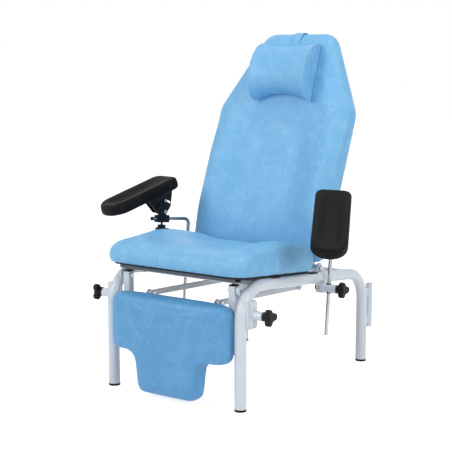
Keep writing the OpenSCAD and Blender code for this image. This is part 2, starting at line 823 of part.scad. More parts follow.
// Leg socket: saddle block fitted to the leg and its bend, screwed flange and bored boss
module leg_socket(side) {
    base_from = leg_span / 2;
    boss_to = flange_x + leg_boss_l;
    color([0.86, 0.89, 0.94]) placed() mirror([side == left ? 1 : 0, 0, 0]) difference() {
        union() {
            translate([base_from, 0, leg_socket_z - leg_base_h / 2])
                cube([flange_x - flange_t - base_from, leg_socket_y + flange_w / 2, leg_base_h]);
            translate([flange_x - flange_t, leg_socket_y - flange_w / 2, leg_socket_z - flange_h / 2])
                cube([flange_t, flange_w, flange_h]);
            cross_pin(flange_x, boss_to, leg_socket_y, leg_socket_z, boss_d);
        }
        translate([base_from, 0, 0]) cylinder(h = front_rise - front_tangent + over, d = tube_d);
        translate([base_from, bend_r, front_rise - front_tangent]) rotate([90, 0, 90])
            rotate([0, 0, 90 - rail_slope]) rotate_extrude(angle = 90 + rail_slope)
            translate([bend_r, 0]) circle(d = tube_d + 2 * weld_lap);
        translate([flange_x + socket_bore_x, leg_socket_y, leg_socket_z - boss_d])
            cylinder(h = 2 * boss_d, d = socket_bore_d);
        cross_pin(flange_x + socket_bore_x, boss_to + over, leg_socket_y, leg_socket_z,
            stud_d + 2 * run_gap);
    }
}

module screw_head(x, y, z) {
    cross_pin(x, x + screw_head_h, y, z, screw_head_d);
}

module socket_screws() {
    color([0.7, 0.72, 0.75]) {
        placed() for (side = [left, right]) mirror([side == left ? 1 : 0, 0, 0])
            for (dz = [-screw_gap, screw_gap]) screw_head(flange_x, leg_socket_y, leg_socket_z + dz);
        on_rail() for (side = [left, right]) mirror([side == left ? 1 : 0, 0, 0])
            translate([(arm_body_in + arm_body_out) / 2, arm_y - arm_body_w / 2, -arm_drop])
                rotate([90, 0, 0]) cylinder(h = screw_head_h, d = screw_head_d);
    }
}

module drip_stand_socket() {
    y = leg_reach + stand_gap_y;
    color([0.86, 0.89, 0.94]) placed() translate([leg_span / 2, 0, stand_foot]) difference() {
        union() {
            translate([0, y, 0]) cylinder(h = stand_l, d = stand_d);
            for (z = [stand_web_w / 2, stand_l - 1.5 * stand_web_w])
                translate([-stand_web_t / 2, leg_reach, z]) cube([stand_web_t, stand_gap_y, stand_web_w]);
        }
        translate([0, y, stand_floor]) cylinder(h = stand_l, d = stand_d - 2 * stand_wall);
        translate([0, leg_reach, -over]) cylinder(h = stand_l + 2 * over, d = tube_d);
    }
}

// Knob: three round-edged lobes about a hub, with its steel stud, along +Z from the socket's face
module pill(d, h, r) {
    steps = 5;
    rotate_extrude() polygon(concat(
        [[0, h], [0, 0]],
        [for (i = [0 : steps]) let (t = 90 * i / steps) [d / 2 - r + r * sin(t), r - r * cos(t)]],
        [for (i = [0 : steps]) let (t = 90 * i / steps) [d / 2 - r + r * cos(t), h - r + r * sin(t)]]
    ));
}

module knob(stud_l) {
    translate([0, 0, -stud_l]) cylinder(h = stud_l + knob_stand, d = stud_d);
    translate([0, 0, knob_stand]) cylinder(h = hub_h, d = hub_d);
    translate([0, 0, knob_stand + hub_h - lobe_round]) {
        pill(hub_d + lobe_round, lobe_h, lobe_round);
        for (turn = [90, 210, 330]) rotate([0, 0, turn]) translate([(knob_d - lobe_d) / 2, 0, lobe_rise])
            pill(lobe_d, lobe_h, lobe_round);
    }
}

module arm_socket_knob(side) {
    color([0.08, 0.08, 0.09]) on_rail() mirror([side == left ? 1 : 0, 0, 0])
        translate([boss_out, arm_y, -arm_drop]) rotate([0, 90, 0])
        knob(boss_out - arm_x - bush_d / 2 - grip_gap);
}

module leg_socket_knob(side) {
    face = flange_x + leg_boss_l;
    color([0.08, 0.08, 0.09]) placed() mirror([side == left ? 1 : 0, 0, 0])
        translate([face, leg_socket_y, leg_socket_z]) rotate([0, 90, 0])
        knob(leg_boss_l - socket_bore_x - socket_bore_d / 2 - grip_gap);
}

// Arm supports

function swing_of(side) = side == left ? left_swing : right_swing;
function tilt_of(side) = side == left ? left_tilt : right_tilt;

// Local frame of an arm: z up the rod from its level axis, x along the level part
module on_arm(side) {
    on_rail() translate([side * arm_x, arm_y, rod_rise])
        rotate([0, 0, -90 + side * swing_of(side)]) children();
}

module on_gutter(side) {
    on_arm(side) translate([carriage_at, 0, pivot_rise]) rotate([0, tilt_of(side), 0]) children();
}

module rod_bush(side) {
    color([0.15, 0.15, 0.16]) on_rail() translate([side * arm_x, arm_y, -arm_drop - bush_l / 2])
        difference() {
            cylinder(h = bush_l, d = bush_d);
            translate([0, 0, -over]) cylinder(h = bush_l + 2 * over, d = rod_d + 2 * run_gap);
        }
}

module arm_rod(side) {
    color([0.8, 0.81, 0.83]) on_arm(side) {
        translate([0, 0, -rod_rise - rod_drop]) cylinder(h = rod_rise + rod_drop - rod_bend_r, d = rod_d);
        translate([rod_bend_r, 0, -rod_bend_r]) rotate([90, 0, 0]) rotate([0, 0, 90])
            rotate_extrude(angle = 90) translate([rod_bend_r, 0]) circle(d = rod_d);
        translate([rod_bend_r, 0, 0]) rotate([0, 90, 0]) cylinder(h = rod_reach - rod_bend_r, d = rod_d);
    }
}

module rod_cap(side) {
    color([0.07, 0.07, 0.08]) on_arm(side) translate([rod_reach, 0, 0]) rotate([0, 90, 0])
        cylinder(h = rod_cap_h, d = rod_d);
}

module carriage(side) {
    color([0.07, 0.07, 0.08]) on_arm(side) translate([carriage_at, 0, 0]) difference() {
        translate([-carriage_l / 2, -carriage_w / 2, -carriage_h / 2])
            cube([carriage_l, carriage_w, carriage_h]);
        translate([-carriage_l, 0, 0]) rotate([0, 90, 0])
            cylinder(h = 2 * carriage_l, d = rod_d + 2 * run_gap);
        translate([0, 0, -carriage_h]) cylinder(h = carriage_h, d = stud_d + 2 * run_gap);
    }
}

module carriage_knob(side) {
    color([0.08, 0.08, 0.09]) on_arm(side) translate([carriage_at, 0, -carriage_h / 2 - carriage_knob_drop])
        rotate([180, 0, 0]) knob(carriage_knob_drop + carriage_h / 2 - rod_d / 2 - grip_gap);
}

// Yoke: upright lug on the carriage that carries the pivot and the stop pin
module yoke(side) {
    base = carriage_h / 2;
    color([0.07, 0.07, 0.08]) on_arm(side) translate([carriage_at, 0, 0]) difference() {
        rotate([90, 0, 0]) translate([0, 0, -yoke_t / 2]) linear_extrude(yoke_t) {
            translate([-yoke_w / 2, base]) square([yoke_w, pivot_rise + yoke_arm_r - base]);
            translate([0, pivot_rise + yoke_arm_r]) circle(d = yoke_w);
        }
        translate([0, 0, pivot_rise]) yoke_bore(bolt_d);
        translate([0, 0, pivot_rise + yoke_arm_r]) yoke_bore(lock_pin_d);
    }
}

module yoke_bore(d) {
    rotate([90, 0, 0]) translate([0, 0, -yoke_t]) cylinder(h = 2 * yoke_t, d = d + 2 * run_gap);
}

module yoke_pin(side) {
    half = yoke_t / 2 + cheek_gap + cheek_t + side_gap;
    color([0.75, 0.77, 0.8]) on_arm(side) translate([carriage_at, 0, pivot_rise + yoke_arm_r])
        rotate([90, 0, 0]) {
            translate([0, 0, -half]) cylinder(h = 2 * half, d = lock_pin_d);
            for (end = [-half - lock_head_h, half]) translate([0, 0, end])
                cylinder(h = lock_head_h, d = lock_head_d);
        }
}

// Bracket: plate under the gutter with two folded cheeks, each with the arc slot and the pivot bore
module gutter_bracket(side) {
    half = yoke_t / 2 + cheek_gap;
    color([0.07, 0.07, 0.08]) on_gutter(side) {
        for (y = [-half - cheek_t, half]) difference() {
            translate([0, y + cheek_t, 0]) rotate([90, 0, 0]) linear_extrude(cheek_t)
                polygon([
                    [-cheek_half_top, cheek_h], [-cheek_half_mid, cheek_mid_h], [-cheek_half_foot, -cheek_foot_h],
                    [cheek_half_foot, -cheek_foot_h], [cheek_half_mid, cheek_mid_h], [cheek_half_top, cheek_h]
                ]);
            translate([0, y - over, 0]) rotate([-90, 0, 0])
                cylinder(h = cheek_t + 2 * over, d = bolt_d + 2 * run_gap);
            translate([0, y + cheek_t + over, 0]) rotate([90, 0, 0])
                linear_extrude(cheek_t + 2 * over) arc_slot();
        }
        translate([-cheek_half_top, -half - cheek_t, cheek_h - bracket_plate_t])
            cube([2 * cheek_half_top, 2 * (half + cheek_t), bracket_plate_t]);
    }
}

// Arc slot about the pivot, from the hand side to the elbow side, with round ends
function turned(r, t) = r * [cos(t), sin(t)];
module arc_slot() {
    r = slot_w / 2;
    steps = 24;
    polygon(concat(
        [for (i = [0 : steps]) turned(yoke_arm_r + r, 90 - slot_to + (slot_to - slot_from) * i / steps)],
        [for (i = [1 : 5]) turned(yoke_arm_r, 90 - slot_from) + turned(r, 90 - slot_from + 30 * i)],
        [for (i = [0 : steps]) turned(yoke_arm_r - r, 90 - slot_from - (slot_to - slot_from) * i / steps)],
        [for (i = [1 : 5]) turned(yoke_arm_r, 90 - slot_to) + turned(r, 270 - slot_to + 30 * i)]
    ));
}

module gutter_bolt(side) {
    half = yoke_t / 2 + cheek_gap + cheek_t;
    color([0.75, 0.77, 0.8]) on_gutter(side) rotate([90, 0, 0]) {
        translate([0, 0, -half]) cylinder(h = 2 * half, d = bolt_d);
        translate([0, 0, half]) cylinder(h = bolt_head_h, d = bolt_head_d);
        translate([0, 0, -half - bolt_nut_h]) cylinder(h = bolt_nut_h, d = bolt_head_d, $fn = 6);
    }
}

// Gutter: round-edged foam pad, squarer at the elbow than at the hand, with a shallow arm channel
function gutter_top(x, y) =
    let (
        t = (y + gutter_tail) / gutter_l,
        out = ease((abs(x) / gutter_w * 2 - channel_shares[0]) / channel_shares[1]),
        along = ease(t / channel_shares[2]) * ease((1 - t) / channel_shares[3])
    )
    gutter_h - channel_depth * (1 - out) * along;

module arm_gutter(side) {
    hand_y = gutter_l - gutter_tail;
    mid_y = gutter_l / 2 - gutter_tail;
    outline = filled_outline(round_outline([
        [-gutter_w / 2, -gutter_tail], [gutter_w / 2, -gutter_tail],
        [gutter_w / 2, hand_y], [-gutter_w / 2, hand_y]
    ], gutter_radii, 6), gutter_l / 9);
    face = function (x, y) gutter_top(x, y);
    color([0.09, 0.09, 0.1]) on_gutter(side) translate([0, 0, cheek_h]) rotate([0, 0, -90])
        skin(cushion_rings(outline, mid_y, 0, face, gutter_shares), cushion_mids(mid_y, 0, face));
}

side_frame(left);  // side_frame_left
side_frame(right);  // side_frame_right
foot_caps();
front_cross_tube();
rear_cross_tube();
seat_rests();
seat_front_bar();
seat_board();
seat_cushion();
drip_stand_socket();
leg_pivot_bolts();
back_pivot_bolts();
arm_socket(left);  // arm_socket_left
arm_socket(right);  // arm_socket_right
arm_socket_plugs();
leg_socket(left);  // leg_socket_left
leg_socket(right);  // leg_socket_right
socket_screws();
back_frame();
back_board();
back_cushion();
head_strap();
upright_plugs();
lever_bolts();
head_pillow();
leg_frame();
leg_post_plugs();
leg_board();
leg_cushion();
leg_ear_bolts();
sync_link(left);  // sync_link_left
sync_link(right);  // sync_link_right
rod_bush(left);  // rod_bush_left
rod_bush(right);  // rod_bush_right
arm_rod(left);  // arm_rod_left
arm_rod(right);  // arm_rod_right
rod_cap(left);  // rod_cap_left
rod_cap(right);  // rod_cap_right
carriage(left);  // carriage_left
carriage(right);  // carriage_right
carriage_knob(left);  // carriage_knob_left
carriage_knob(right);  // carriage_knob_right
yoke(left);  // yoke_left
yoke(right);  // yoke_right
yoke_pin(left);  // yoke_pin_left
yoke_pin(right);  // yoke_pin_right
gutter_bracket(left);  // gutter_bracket_left
gutter_bracket(right);  // gutter_bracket_right
gutter_bolt(left);  // gutter_bolt_left
gutter_bolt(right);  // gutter_bolt_right
arm_gutter(left);  // arm_gutter_left
arm_gutter(right);  // arm_gutter_right
arm_socket_knob(left);  // arm_socket_knob_left
arm_socket_knob(right);  // arm_socket_knob_right
leg_socket_knob(left);  // leg_socket_knob_left
leg_socket_knob(right);  // leg_socket_knob_right
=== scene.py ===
# %% [markdown]
# # A phlebotomy chair, dressed
# The CAD model brings the frame, the linkage and the arm supports at their real sizes.
# This script adds what CAD doesn't hold: vinyl covers puffed by a cloth simulation, foam
# gutters, a sewn strap, piping, and a procedural material on every surface.
# Everything is in metres, in the CAD model's own frame: +Z is up and the sitter faces -Y.

# %% Load the frame
import json
import math
import bmesh
import bpy
import numpy as np
from mathutils import Matrix, Vector
from mathutils.bvhtree import BVHTree


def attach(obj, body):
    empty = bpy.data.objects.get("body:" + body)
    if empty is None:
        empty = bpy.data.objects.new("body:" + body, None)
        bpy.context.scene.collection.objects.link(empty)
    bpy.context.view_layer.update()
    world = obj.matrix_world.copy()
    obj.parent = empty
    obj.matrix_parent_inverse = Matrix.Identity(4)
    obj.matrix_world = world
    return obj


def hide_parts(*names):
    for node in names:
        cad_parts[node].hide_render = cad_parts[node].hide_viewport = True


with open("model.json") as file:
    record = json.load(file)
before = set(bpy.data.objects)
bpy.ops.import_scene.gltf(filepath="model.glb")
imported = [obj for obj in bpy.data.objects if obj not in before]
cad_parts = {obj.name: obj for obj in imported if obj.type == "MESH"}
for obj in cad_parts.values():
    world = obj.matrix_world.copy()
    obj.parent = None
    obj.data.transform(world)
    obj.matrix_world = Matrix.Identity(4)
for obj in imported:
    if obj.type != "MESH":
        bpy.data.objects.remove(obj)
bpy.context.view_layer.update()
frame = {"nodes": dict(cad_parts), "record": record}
scene = bpy.context.scene

# %% [markdown]
# ## Sizes shared with the CAD model
# The soft covers replace plain CAD solids, so they are built in the same local frames and
# from the same sizes. A local frame is a 4x4 matrix from that frame to the model's.

# %% Local frames
PLAN = Matrix.Translation((-0.043, -0.3945, 0))
RAIL_FALL, RAIL_REACH, RISE, SEAT_LIFT = 0.074, 0.790, 0.410, 0.022
SLOPE = math.atan(RAIL_FALL / RAIL_REACH)
LEAN = math.radians(21.7)
BACK_HINGE, LEG_FACE = (0, 0.520, 0.392), (0, 0.0155, 0)
ROD_PLACE, TILT_PLACE = (0.315, 0.477, 0.161), (0.128, 0, 0.026)
SWING = {"left": math.radians(-90 - 13), "right": math.radians(-90 + 29)}
TILT = {"left": math.radians(22), "right": math.radians(38)}
SIDES = {"left": -1, "right": 1}


def moved(*place):
    return Matrix.Translation(place)


def turned(angle, axis):
    return Matrix.Rotation(angle, 4, axis)


RAIL = PLAN @ moved(0, 0, RISE) @ turned(-SLOPE, "X")
SEAT = PLAN @ moved(0, 0, RISE + SEAT_LIFT / math.cos(SLOPE)) @ turned(-SLOPE, "X")
BACK = PLAN @ moved(*BACK_HINGE) @ turned(math.pi / 2 - LEAN, "X")
LEG = PLAN @ moved(*LEG_FACE) @ turned(math.pi / 2, "X")


def gutter_frame(side):
    """From the frame of one gutter (pivot at its origin, hand end at +x) to the model's."""
    x, y, z = ROD_PLACE
    rod = RAIL @ moved(SIDES[side] * x, y, z) @ turned(SWING[side], "Z")
    return rod @ moved(*TILT_PLACE) @ turned(TILT[side], "Y")


print("local frames: rail, seat, back, leg and two gutters")

# %% [markdown]
# ## Camera
# The view was measured in the photograph. A camera that is tipped down by 8.4 degrees, with
# no lens shift, shows the feet and the head within two pixels of where they are there.

# %% Camera
PHOTO_WIDTH, FOCAL_PIXELS, SENSOR = 452, 1203.0, 36
CAMERA_PLACE, CAMERA_TIP, CAMERA_TURN = (2.3828, -3.4843, 1.1661), 8.447, 35.632
cam_data = bpy.data.cameras.new("camera")
cam = bpy.data.objects.new("camera", cam_data)
scene.collection.objects.link(cam)
scene.camera = cam
cam.location = CAMERA_PLACE
cam.rotation_euler = (math.radians(90 - CAMERA_TIP), 0, math.radians(CAMERA_TURN))
cam_data.sensor_width = SENSOR
cam_data.lens = FOCAL_PIXELS / PHOTO_WIDTH * SENSOR
cam_data.clip_start, cam_data.clip_end = 0.05, 60
print("camera: lens %.1f mm" % cam_data.lens)

# %% [markdown]
# ## Small tools for building meshes
# A skin is drawn over rings of points, as the CAD model does it, only much finer.
# Meshes are baked into the model's frame, so every object stays at the origin.

# %% Mesh tools


def ease(t):
    t = np.clip(t, 0, 1)
    return t * t * (3 - 2 * t)


def new_object(name, verts, faces, matrix=None):
    """A mesh object at the origin, its points moved by matrix, normals outward."""
    mesh = bpy.data.meshes.new(name)
    mesh.from_pydata([tuple(map(float, v)) for v in verts], [], faces)
    bm = bmesh.new()
    bm.from_mesh(mesh)
    bmesh.ops.remove_doubles(bm, verts=bm.verts, dist=1e-6)
    bmesh.ops.recalc_face_normals(bm, faces=bm.faces)
    bm.to_mesh(mesh)
    bm.free()
    if matrix is not None:
        mesh.transform(matrix)
    mesh.update()
    obj = bpy.data.objects.new(name, mesh)
    scene.collection.objects.link(obj)
    return smooth(obj)


def smooth(obj):
    obj.data.polygons.foreach_set("use_smooth", [True] * len(obj.data.polygons))
    return obj


def skin(name, rings, matrix, mids=None):
    """Skin over an array of rings (n, k, 3). mids are the middle points of the two end caps."""
    rings = np.asarray(rings)
    n, k, _ = rings.shape
    verts = list(rings.reshape(-1, 3))
    faces = []
    for j in range(n - 1):
        for i in range(k):
            a, b = j * k + i, j * k + (i + 1) % k
            faces.append((a, b, b + k, a + k))
    if mids is None:
        mids = (rings[0].mean(0), rings[-1].mean(0))
    verts += [mids[0], mids[1]]
    last = (n - 1) * k
    for i in range(k):
        faces.append((n * k, (i + 1) % k, i))
        faces.append((n * k + 1, last + i, last + (i + 1) % k))
    return new_object(name, verts, faces, matrix)


def round_outline(corners, radii, steps=14, spacing=0.008):
    """Closed outline with round corners and evenly filled sides."""
    out = []
    c = [np.array(p, float) for p in corners]
    n = len(c)
    for i in range(n):
        a, b, d = c[i - 1], c[i], c[(i + 1) % n]
        u, w = (a - b) / np.linalg.norm(a - b), (d - b) / np.linalg.norm(d - b)
        half = math.acos(float(np.clip(u @ w, -1, 1))) / 2
        r = radii[i]
        mid = b + (u + w) / np.linalg.norm(u + w) * r / math.sin(half)
        p, q = b + u * r / math.tan(half) - mid, b + w * r / math.tan(half) - mid
        t0, t1 = math.atan2(p[1], p[0]), math.atan2(q[1], q[0])
        turn = (t1 - t0 + 3 * math.pi) % (2 * math.pi) - math.pi
        out += [mid + r * np.array([math.cos(t0 + turn * s / steps), math.sin(t0 + turn * s / steps)])
                for s in range(steps + 1)]
    full = []
    for i, p in enumerate(out):
        q = out[(i + 1) % len(out)]
        m = max(1, math.ceil(np.linalg.norm(q - p) / spacing))
        full += [p + (q - p) * s / m for s in range(m)]
    return np.array(full)


# Share of the outline's size and of the height, from the rear edge over the side to the middle
PROFILE = np.array([
    (0.972, 0), (0.992, 0.12), (1, 0.28), (1, 0.5), (0.99, 0.68), (0.968, 0.83),
    (0.935, 0.93), (0.88, 0.98), (0.79, 1), (0.64, 1), (0.46, 1), (0.26, 1), (0.07, 1)])


def fine_profile(shares, points=44):
    """The same profile as a smooth curve with more points."""
    t = np.linspace(0, len(shares) - 1, points)
    i = np.clip(t.astype(int), 0, len(shares) - 2)
    f = (t - i)[:, None]
    p = np.vstack([2 * shares[0] - shares[1], shares, 2 * shares[-1] - shares[-2]])
    a, b, c, d = p[i], p[i + 1], p[i + 2], p[i + 3]
    return 0.5 * (2 * b + (c - a) * f + (2 * a - 5 * b + 4 * c - d) * f**2 + (3 * b - 3 * c + d - a) * f**3)


def cushion(name, outline, mid_y, foot, height, matrix, shares=PROFILE):
    """A pad over an outline; height gives its top at each place."""
    rings = []
    for share, up in fine_profile(shares):
        x = outline[:, 0] * share
        y = mid_y + (outline[:, 1] - mid_y) * share
        rings.append(np.stack([x, y, foot + up * (height(x, y) - foot)], -1))
    zero = np.zeros(1)
    top = float(height(zero, zero + mid_y)[0])
    return skin(name, rings, matrix, ((0, mid_y, foot), (0, mid_y, top)))


print("mesh tools ready")

# %% [markdown]
# ## Cloth simulation for the covers
# Each cover starts a little too small, is remeshed into even quads and blown up with a light
# pressure and no gravity. The side that lies on its board is pinned, and a cap keeps each
# point near where the CAD model has it.

# %% Kept results of modifiers


def evaluated_copy(obj):
    """The mesh of obj with its modifiers applied, and the modifiers gone."""
    dg = bpy.context.evaluated_depsgraph_get()
    mesh = bpy.data.meshes.new_from_object(obj.evaluated_get(dg))
    old = obj.data
    obj.modifiers.clear()
    obj.data = mesh
    bpy.data.meshes.remove(old)
    return obj


def coords(mesh):
    a = np.empty(len(mesh.vertices) * 3)
    mesh.vertices.foreach_get("co", a)
    return a.reshape(-1, 3)


# %% Cloth simulation
CLOTH_FRAMES = 20
CLOTH = {"quality": 4, "mass": 0.35, "tension_stiffness": 18, "compression_stiffness": 18,
         "shear_stiffness": 8, "bending_stiffness": 6, "use_pressure": True}


def puff(obj, voxel, cap, pressure, pinned, shrink=0.5, relax=6):
    """Remesh obj, blow it up by at most cap and subdivide it. pinned(points) is True where it is held."""
    remesh = obj.modifiers.new("remesh", "REMESH")
    remesh.mode = "VOXEL"
    remesh.voxel_size = voxel
    even = obj.modifiers.new("even", "SMOOTH")
    even.factor, even.iterations = 0.5, relax
    evaluated_copy(obj)
    start = coords(obj.data)
    held = pinned(start)
    normals = np.array([v.normal for v in obj.data.vertices])
    begin = start - normals * (shrink * cap * ~held)[:, None]
    obj.data.vertices.foreach_set("co", begin.ravel())
    group = obj.vertex_groups.new(name="held")
    group.add([int(i) for i in np.nonzero(held)[0]], 1.0, "REPLACE")
    cloth = obj.modifiers.new("cloth", "CLOTH")
    for label, value in CLOTH.items():
        setattr(cloth.settings, label, value)
    cloth.settings.uniform_pressure_force = pressure
    cloth.settings.vertex_group_mass = "held"
    cloth.settings.effector_weights.gravity = 0
    cloth.collision_settings.use_collision = False
    cloth.collision_settings.use_self_collision = False
    cloth.point_cache.frame_start, cloth.point_cache.frame_end = 1, CLOTH_FRAMES
    for frame_number in range(1, CLOTH_FRAMES + 1):
        scene.frame_set(frame_number)
    dg = bpy.context.evaluated_depsgraph_get()
    ev = obj.evaluated_get(dg).to_mesh()
    moved = coords(ev)
    obj.evaluated_get(dg).to_mesh_clear()
    obj.modifiers.clear()
    obj.vertex_groups.clear()
    scene.frame_set(1)
    step = moved - start
    size = np.linalg.norm(step, axis=1)
    limit = cap * (1 - shrink)
    step *= (limit * np.tanh(size / limit) / np.maximum(size, 1e-9))[:, None]
    obj.data.vertices.foreach_set("co", (start + step).ravel())
    sub = obj.modifiers.new("sub", "SUBSURF")
    sub.levels = sub.render_levels = 1
    evaluated_copy(obj)
    smooth(obj)
    print("%s: %d faces" % (obj.name, len(obj.data.polygons)))
    return obj


# %% [markdown]
# ## Seat, back and leg covers
# The bolsters, the dish of the back and the flat head end follow the CAD formulas. The covers
# are a few millimetres larger than the CAD cushions, as a stuffed cover is, and the front
# edge of the seat is rolled down.

# %% Seat cover
SEAT_W, SEAT_L, NOSE = 0.586, 0.482, 0.035
SEAT_H, BOLSTER, FRONT_ROLL, ROLL_DROP = 0.082, 0.030, 0.110, 0.020
FOOT = 0.006


def seat_top(x, y):
    peak = 0.55 * SEAT_L - NOSE
    reach = np.where(y < peak, 0.29, 0.46) * SEAT_L
    out = ease((np.abs(x) / SEAT_W - 0.16) / 0.26)
    roll = np.clip((FRONT_ROLL - NOSE - y) / FRONT_ROLL, 0, 1)
    return SEAT_H - ROLL_DROP * roll ** 2.2 + BOLSTER * out * np.exp(-((y - peak) / reach) ** 2)


def in_frame(matrix):
    """A function that gives points in a local frame."""
    inverse = np.array(matrix.inverted())
    return lambda p: p @ inverse[:3, :3].T + inverse[:3, 3]


seat_local, back_local, leg_local = in_frame(SEAT), in_frame(BACK), in_frame(LEG)
seat_outline = round_outline(
    [(-SEAT_W / 2, -NOSE), (SEAT_W / 2, -NOSE),
     (SEAT_W / 2, SEAT_L - NOSE), (-SEAT_W / 2, SEAT_L - NOSE)],
    [0.06] * 4)
seat_cover = cushion("seat_cover", seat_outline, SEAT_L / 2 - NOSE, FOOT, seat_top, SEAT)
puff(seat_cover, 0.007, 0.006, 3.0, lambda p: seat_local(p)[:, 2] < FOOT + 0.004)
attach(seat_cover, "chair")
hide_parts("seat_cushion")

# %% Back cover
BACK_FOOT, BACK_L, SHOULDER, FOOT_W, BACK_W, HEAD_W = 0.008, 0.858, 0.568, 0.576, 0.580, 0.286
BACK_TOP = BACK_FOOT + BACK_L
BACK_REAR, BACK_T, DISH, SIDE_PUFF, FOOT_SHARE = 0.013, 0.078, 0.024, 0.012, 0.16


def back_half(v):
    low = FOOT_W / 2 + (BACK_W - FOOT_W) / 2 * (v - BACK_FOOT) / (SHOULDER - BACK_FOOT)
    high = BACK_W / 2 - (BACK_W - HEAD_W) / 2 * (v - SHOULDER) / (BACK_TOP - SHOULDER)
    return np.where(v < SHOULDER, low, high)


def back_face(x, v):
    out = ease((np.abs(x) / back_half(v) - 0.3) / 0.5)
    low = ease((v - BACK_FOOT) / (FOOT_SHARE * BACK_L))
    high = ease((v / BACK_L - 0.55) / 0.2)
    bolster = SIDE_PUFF * out * ease((v / BACK_L - 0.08) / 0.16) * (1 - ease((v / BACK_L - 0.42) / 0.2))
    dish = DISH * (1 - out) * (1 - high) + FOOT_SHARE * BACK_T * (1 - low)
    return BACK_REAR + BACK_T - dish + bolster


back_outline = round_outline(
    [(-FOOT_W / 2, BACK_FOOT), (FOOT_W / 2, BACK_FOOT), (BACK_W / 2, SHOULDER),
     (HEAD_W / 2, BACK_TOP), (-HEAD_W / 2, BACK_TOP), (-BACK_W / 2, SHOULDER)],
    [0.044, 0.044, 0.09, 0.06, 0.06, 0.09])
BACK_SEAT = 0.0125 + FOOT
back_cover = cushion("back_cover", back_outline, BACK_FOOT + BACK_L * 0.46, BACK_SEAT, back_face, BACK)
puff(back_cover, 0.008, 0.006, 3.0, lambda p: back_local(p)[:, 2] < BACK_SEAT + 0.004)
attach(back_cover, "back")
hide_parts("back_cushion")

# %% Leg cover
LEG_W, LEG_TOP, LEG_SHOULDER, LEG_TOE, TONGUE, TAPER = 0.488, 0.346, 0.150, 0.009, 0.276, 0.86
leg_outline = round_outline(
    [(-TONGUE / 2 * TAPER, LEG_TOE), (TONGUE / 2 * TAPER, LEG_TOE), (TONGUE / 2, LEG_SHOULDER),
     (LEG_W / 2, LEG_SHOULDER), (LEG_W / 2, LEG_TOP), (-LEG_W / 2, LEG_TOP),
     (-LEG_W / 2, LEG_SHOULDER), (-TONGUE / 2, LEG_SHOULDER)],
    [0.028, 0.028, 0.044, 0.026, 0.040, 0.040, 0.026, 0.044])
LEG_MID = LEG_SHOULDER + (LEG_TOP - LEG_SHOULDER) * 0.2
LEG_T, LEG_ROUND = 0.080, 0.16


def leg_face(x, y):
    return FOOT + LEG_T * (1 - LEG_ROUND * (np.abs(x) / LEG_W * 2) ** 2)


leg_cover = cushion("leg_cover", leg_outline, LEG_MID, FOOT, leg_face, LEG)
puff(leg_cover, 0.006, 0.005, 3.0, lambda p: leg_local(p)[:, 2] < FOOT + 0.004)
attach(leg_cover, "leg")
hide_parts("leg_cushion")

# %% [markdown]
# ## Head pillow
# A block with flat end panels: the section is a D that stands on the back, and the long
# sides draw in towards the waist.

# %% Pillow cover
PILLOW_W, PILLOW_H, PILLOW_T, PILLOW_UP = 0.262, 0.230, 0.092, 0.690
STRAP_T, PILLOW_GAP = 0.0024, 0.0006
PILLOW_SEAT = BACK_REAR + BACK_T + STRAP_T + PILLOW_GAP
PILLOW_LEAN = 0.03


def pillow_ring(x, inset=0.0, around=120):
    """Closed section of the pillow across the back at x: 0 is the waist, half the width an end."""
    dip = 1 - (x / (PILLOW_W / 2)) ** 2
    above = PILLOW_H / 2 * (1.06 - 0.13 * dip) - inset
    below = PILLOW_H / 2 * (1 - 0.31 * dip) - inset
    deep = PILLOW_T * (1 - 0.14 * dip) - 2 * inset
    t = np.linspace(0, 2 * math.pi, around, endpoint=False)
    c = np.cos(t)
    n = deep * np.maximum(np.sin(t), 0) ** 0.8
    v = PILLOW_UP - c * np.where(c > 0, below, above) - 0.1 * above * n / deep
    return np.stack([x - PILLOW_LEAN * (v - PILLOW_UP), v, PILLOW_SEAT + inset + n], -1)


half = PILLOW_W / 2 - 0.010
stations = [(-half, 0.010), (-half, 0.004), (-half + 0.0015, 0.0012)]
stations += [(x, 0.0) for x in np.linspace(-half + 0.005, half - 0.005, 46)]
stations += [(half - 0.0015, 0.0012), (half, 0.004), (half, 0.010)]
pillow_cover = skin("pillow_cover", [pillow_ring(x, i) for x, i in stations], BACK)
puff(pillow_cover, 0.005, 0.004, 2.5, lambda p: back_local(p)[:, 2] < PILLOW_SEAT + 0.003, relax=3)
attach(pillow_cover, "pillow")
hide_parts("head_pillow")

# %% [markdown]
# ## Geometry Nodes for what repeats
# Piping is a circle swept along a curve, and stitches and screws are instances on points.
# Each graph has named inputs for its sizes and ends in Realize Instances and Set Material.
# Its result is kept as a mesh. Modelling each piece by hand would be slower and less even.

# %% Geometry Nodes tools
LENGTH, COUNT, PAINT = "NodeSocketFloat", "NodeSocketInt", "NodeSocketMaterial"


def node_tree(name, inputs):
    """A tree with named inputs (label, socket type) besides its geometry and its material."""
    tree = bpy.data.node_groups.new(name, "GeometryNodeTree")
    tree.interface.new_socket("Geometry", in_out="INPUT", socket_type="NodeSocketGeometry")
    for label, kind in inputs + [("Material", PAINT)]:
        tree.interface.new_socket(label, in_out="INPUT", socket_type=kind)
    tree.interface.new_socket("Geometry", in_out="OUTPUT", socket_type="NodeSocketGeometry")
    return tree, tree.nodes.new("NodeGroupInput").outputs


def wired(tree, kind, **links):
    """A new node with the named inputs linked to sockets or set to values."""
    node = tree.nodes.new(kind)
    for label, v in links.items():
        sock = node.inputs[label.replace("_", " ")]
        if isinstance(v, bpy.types.NodeSocket):
            tree.links.new(v, sock)
        else:
            sock.default_value = v
    return node


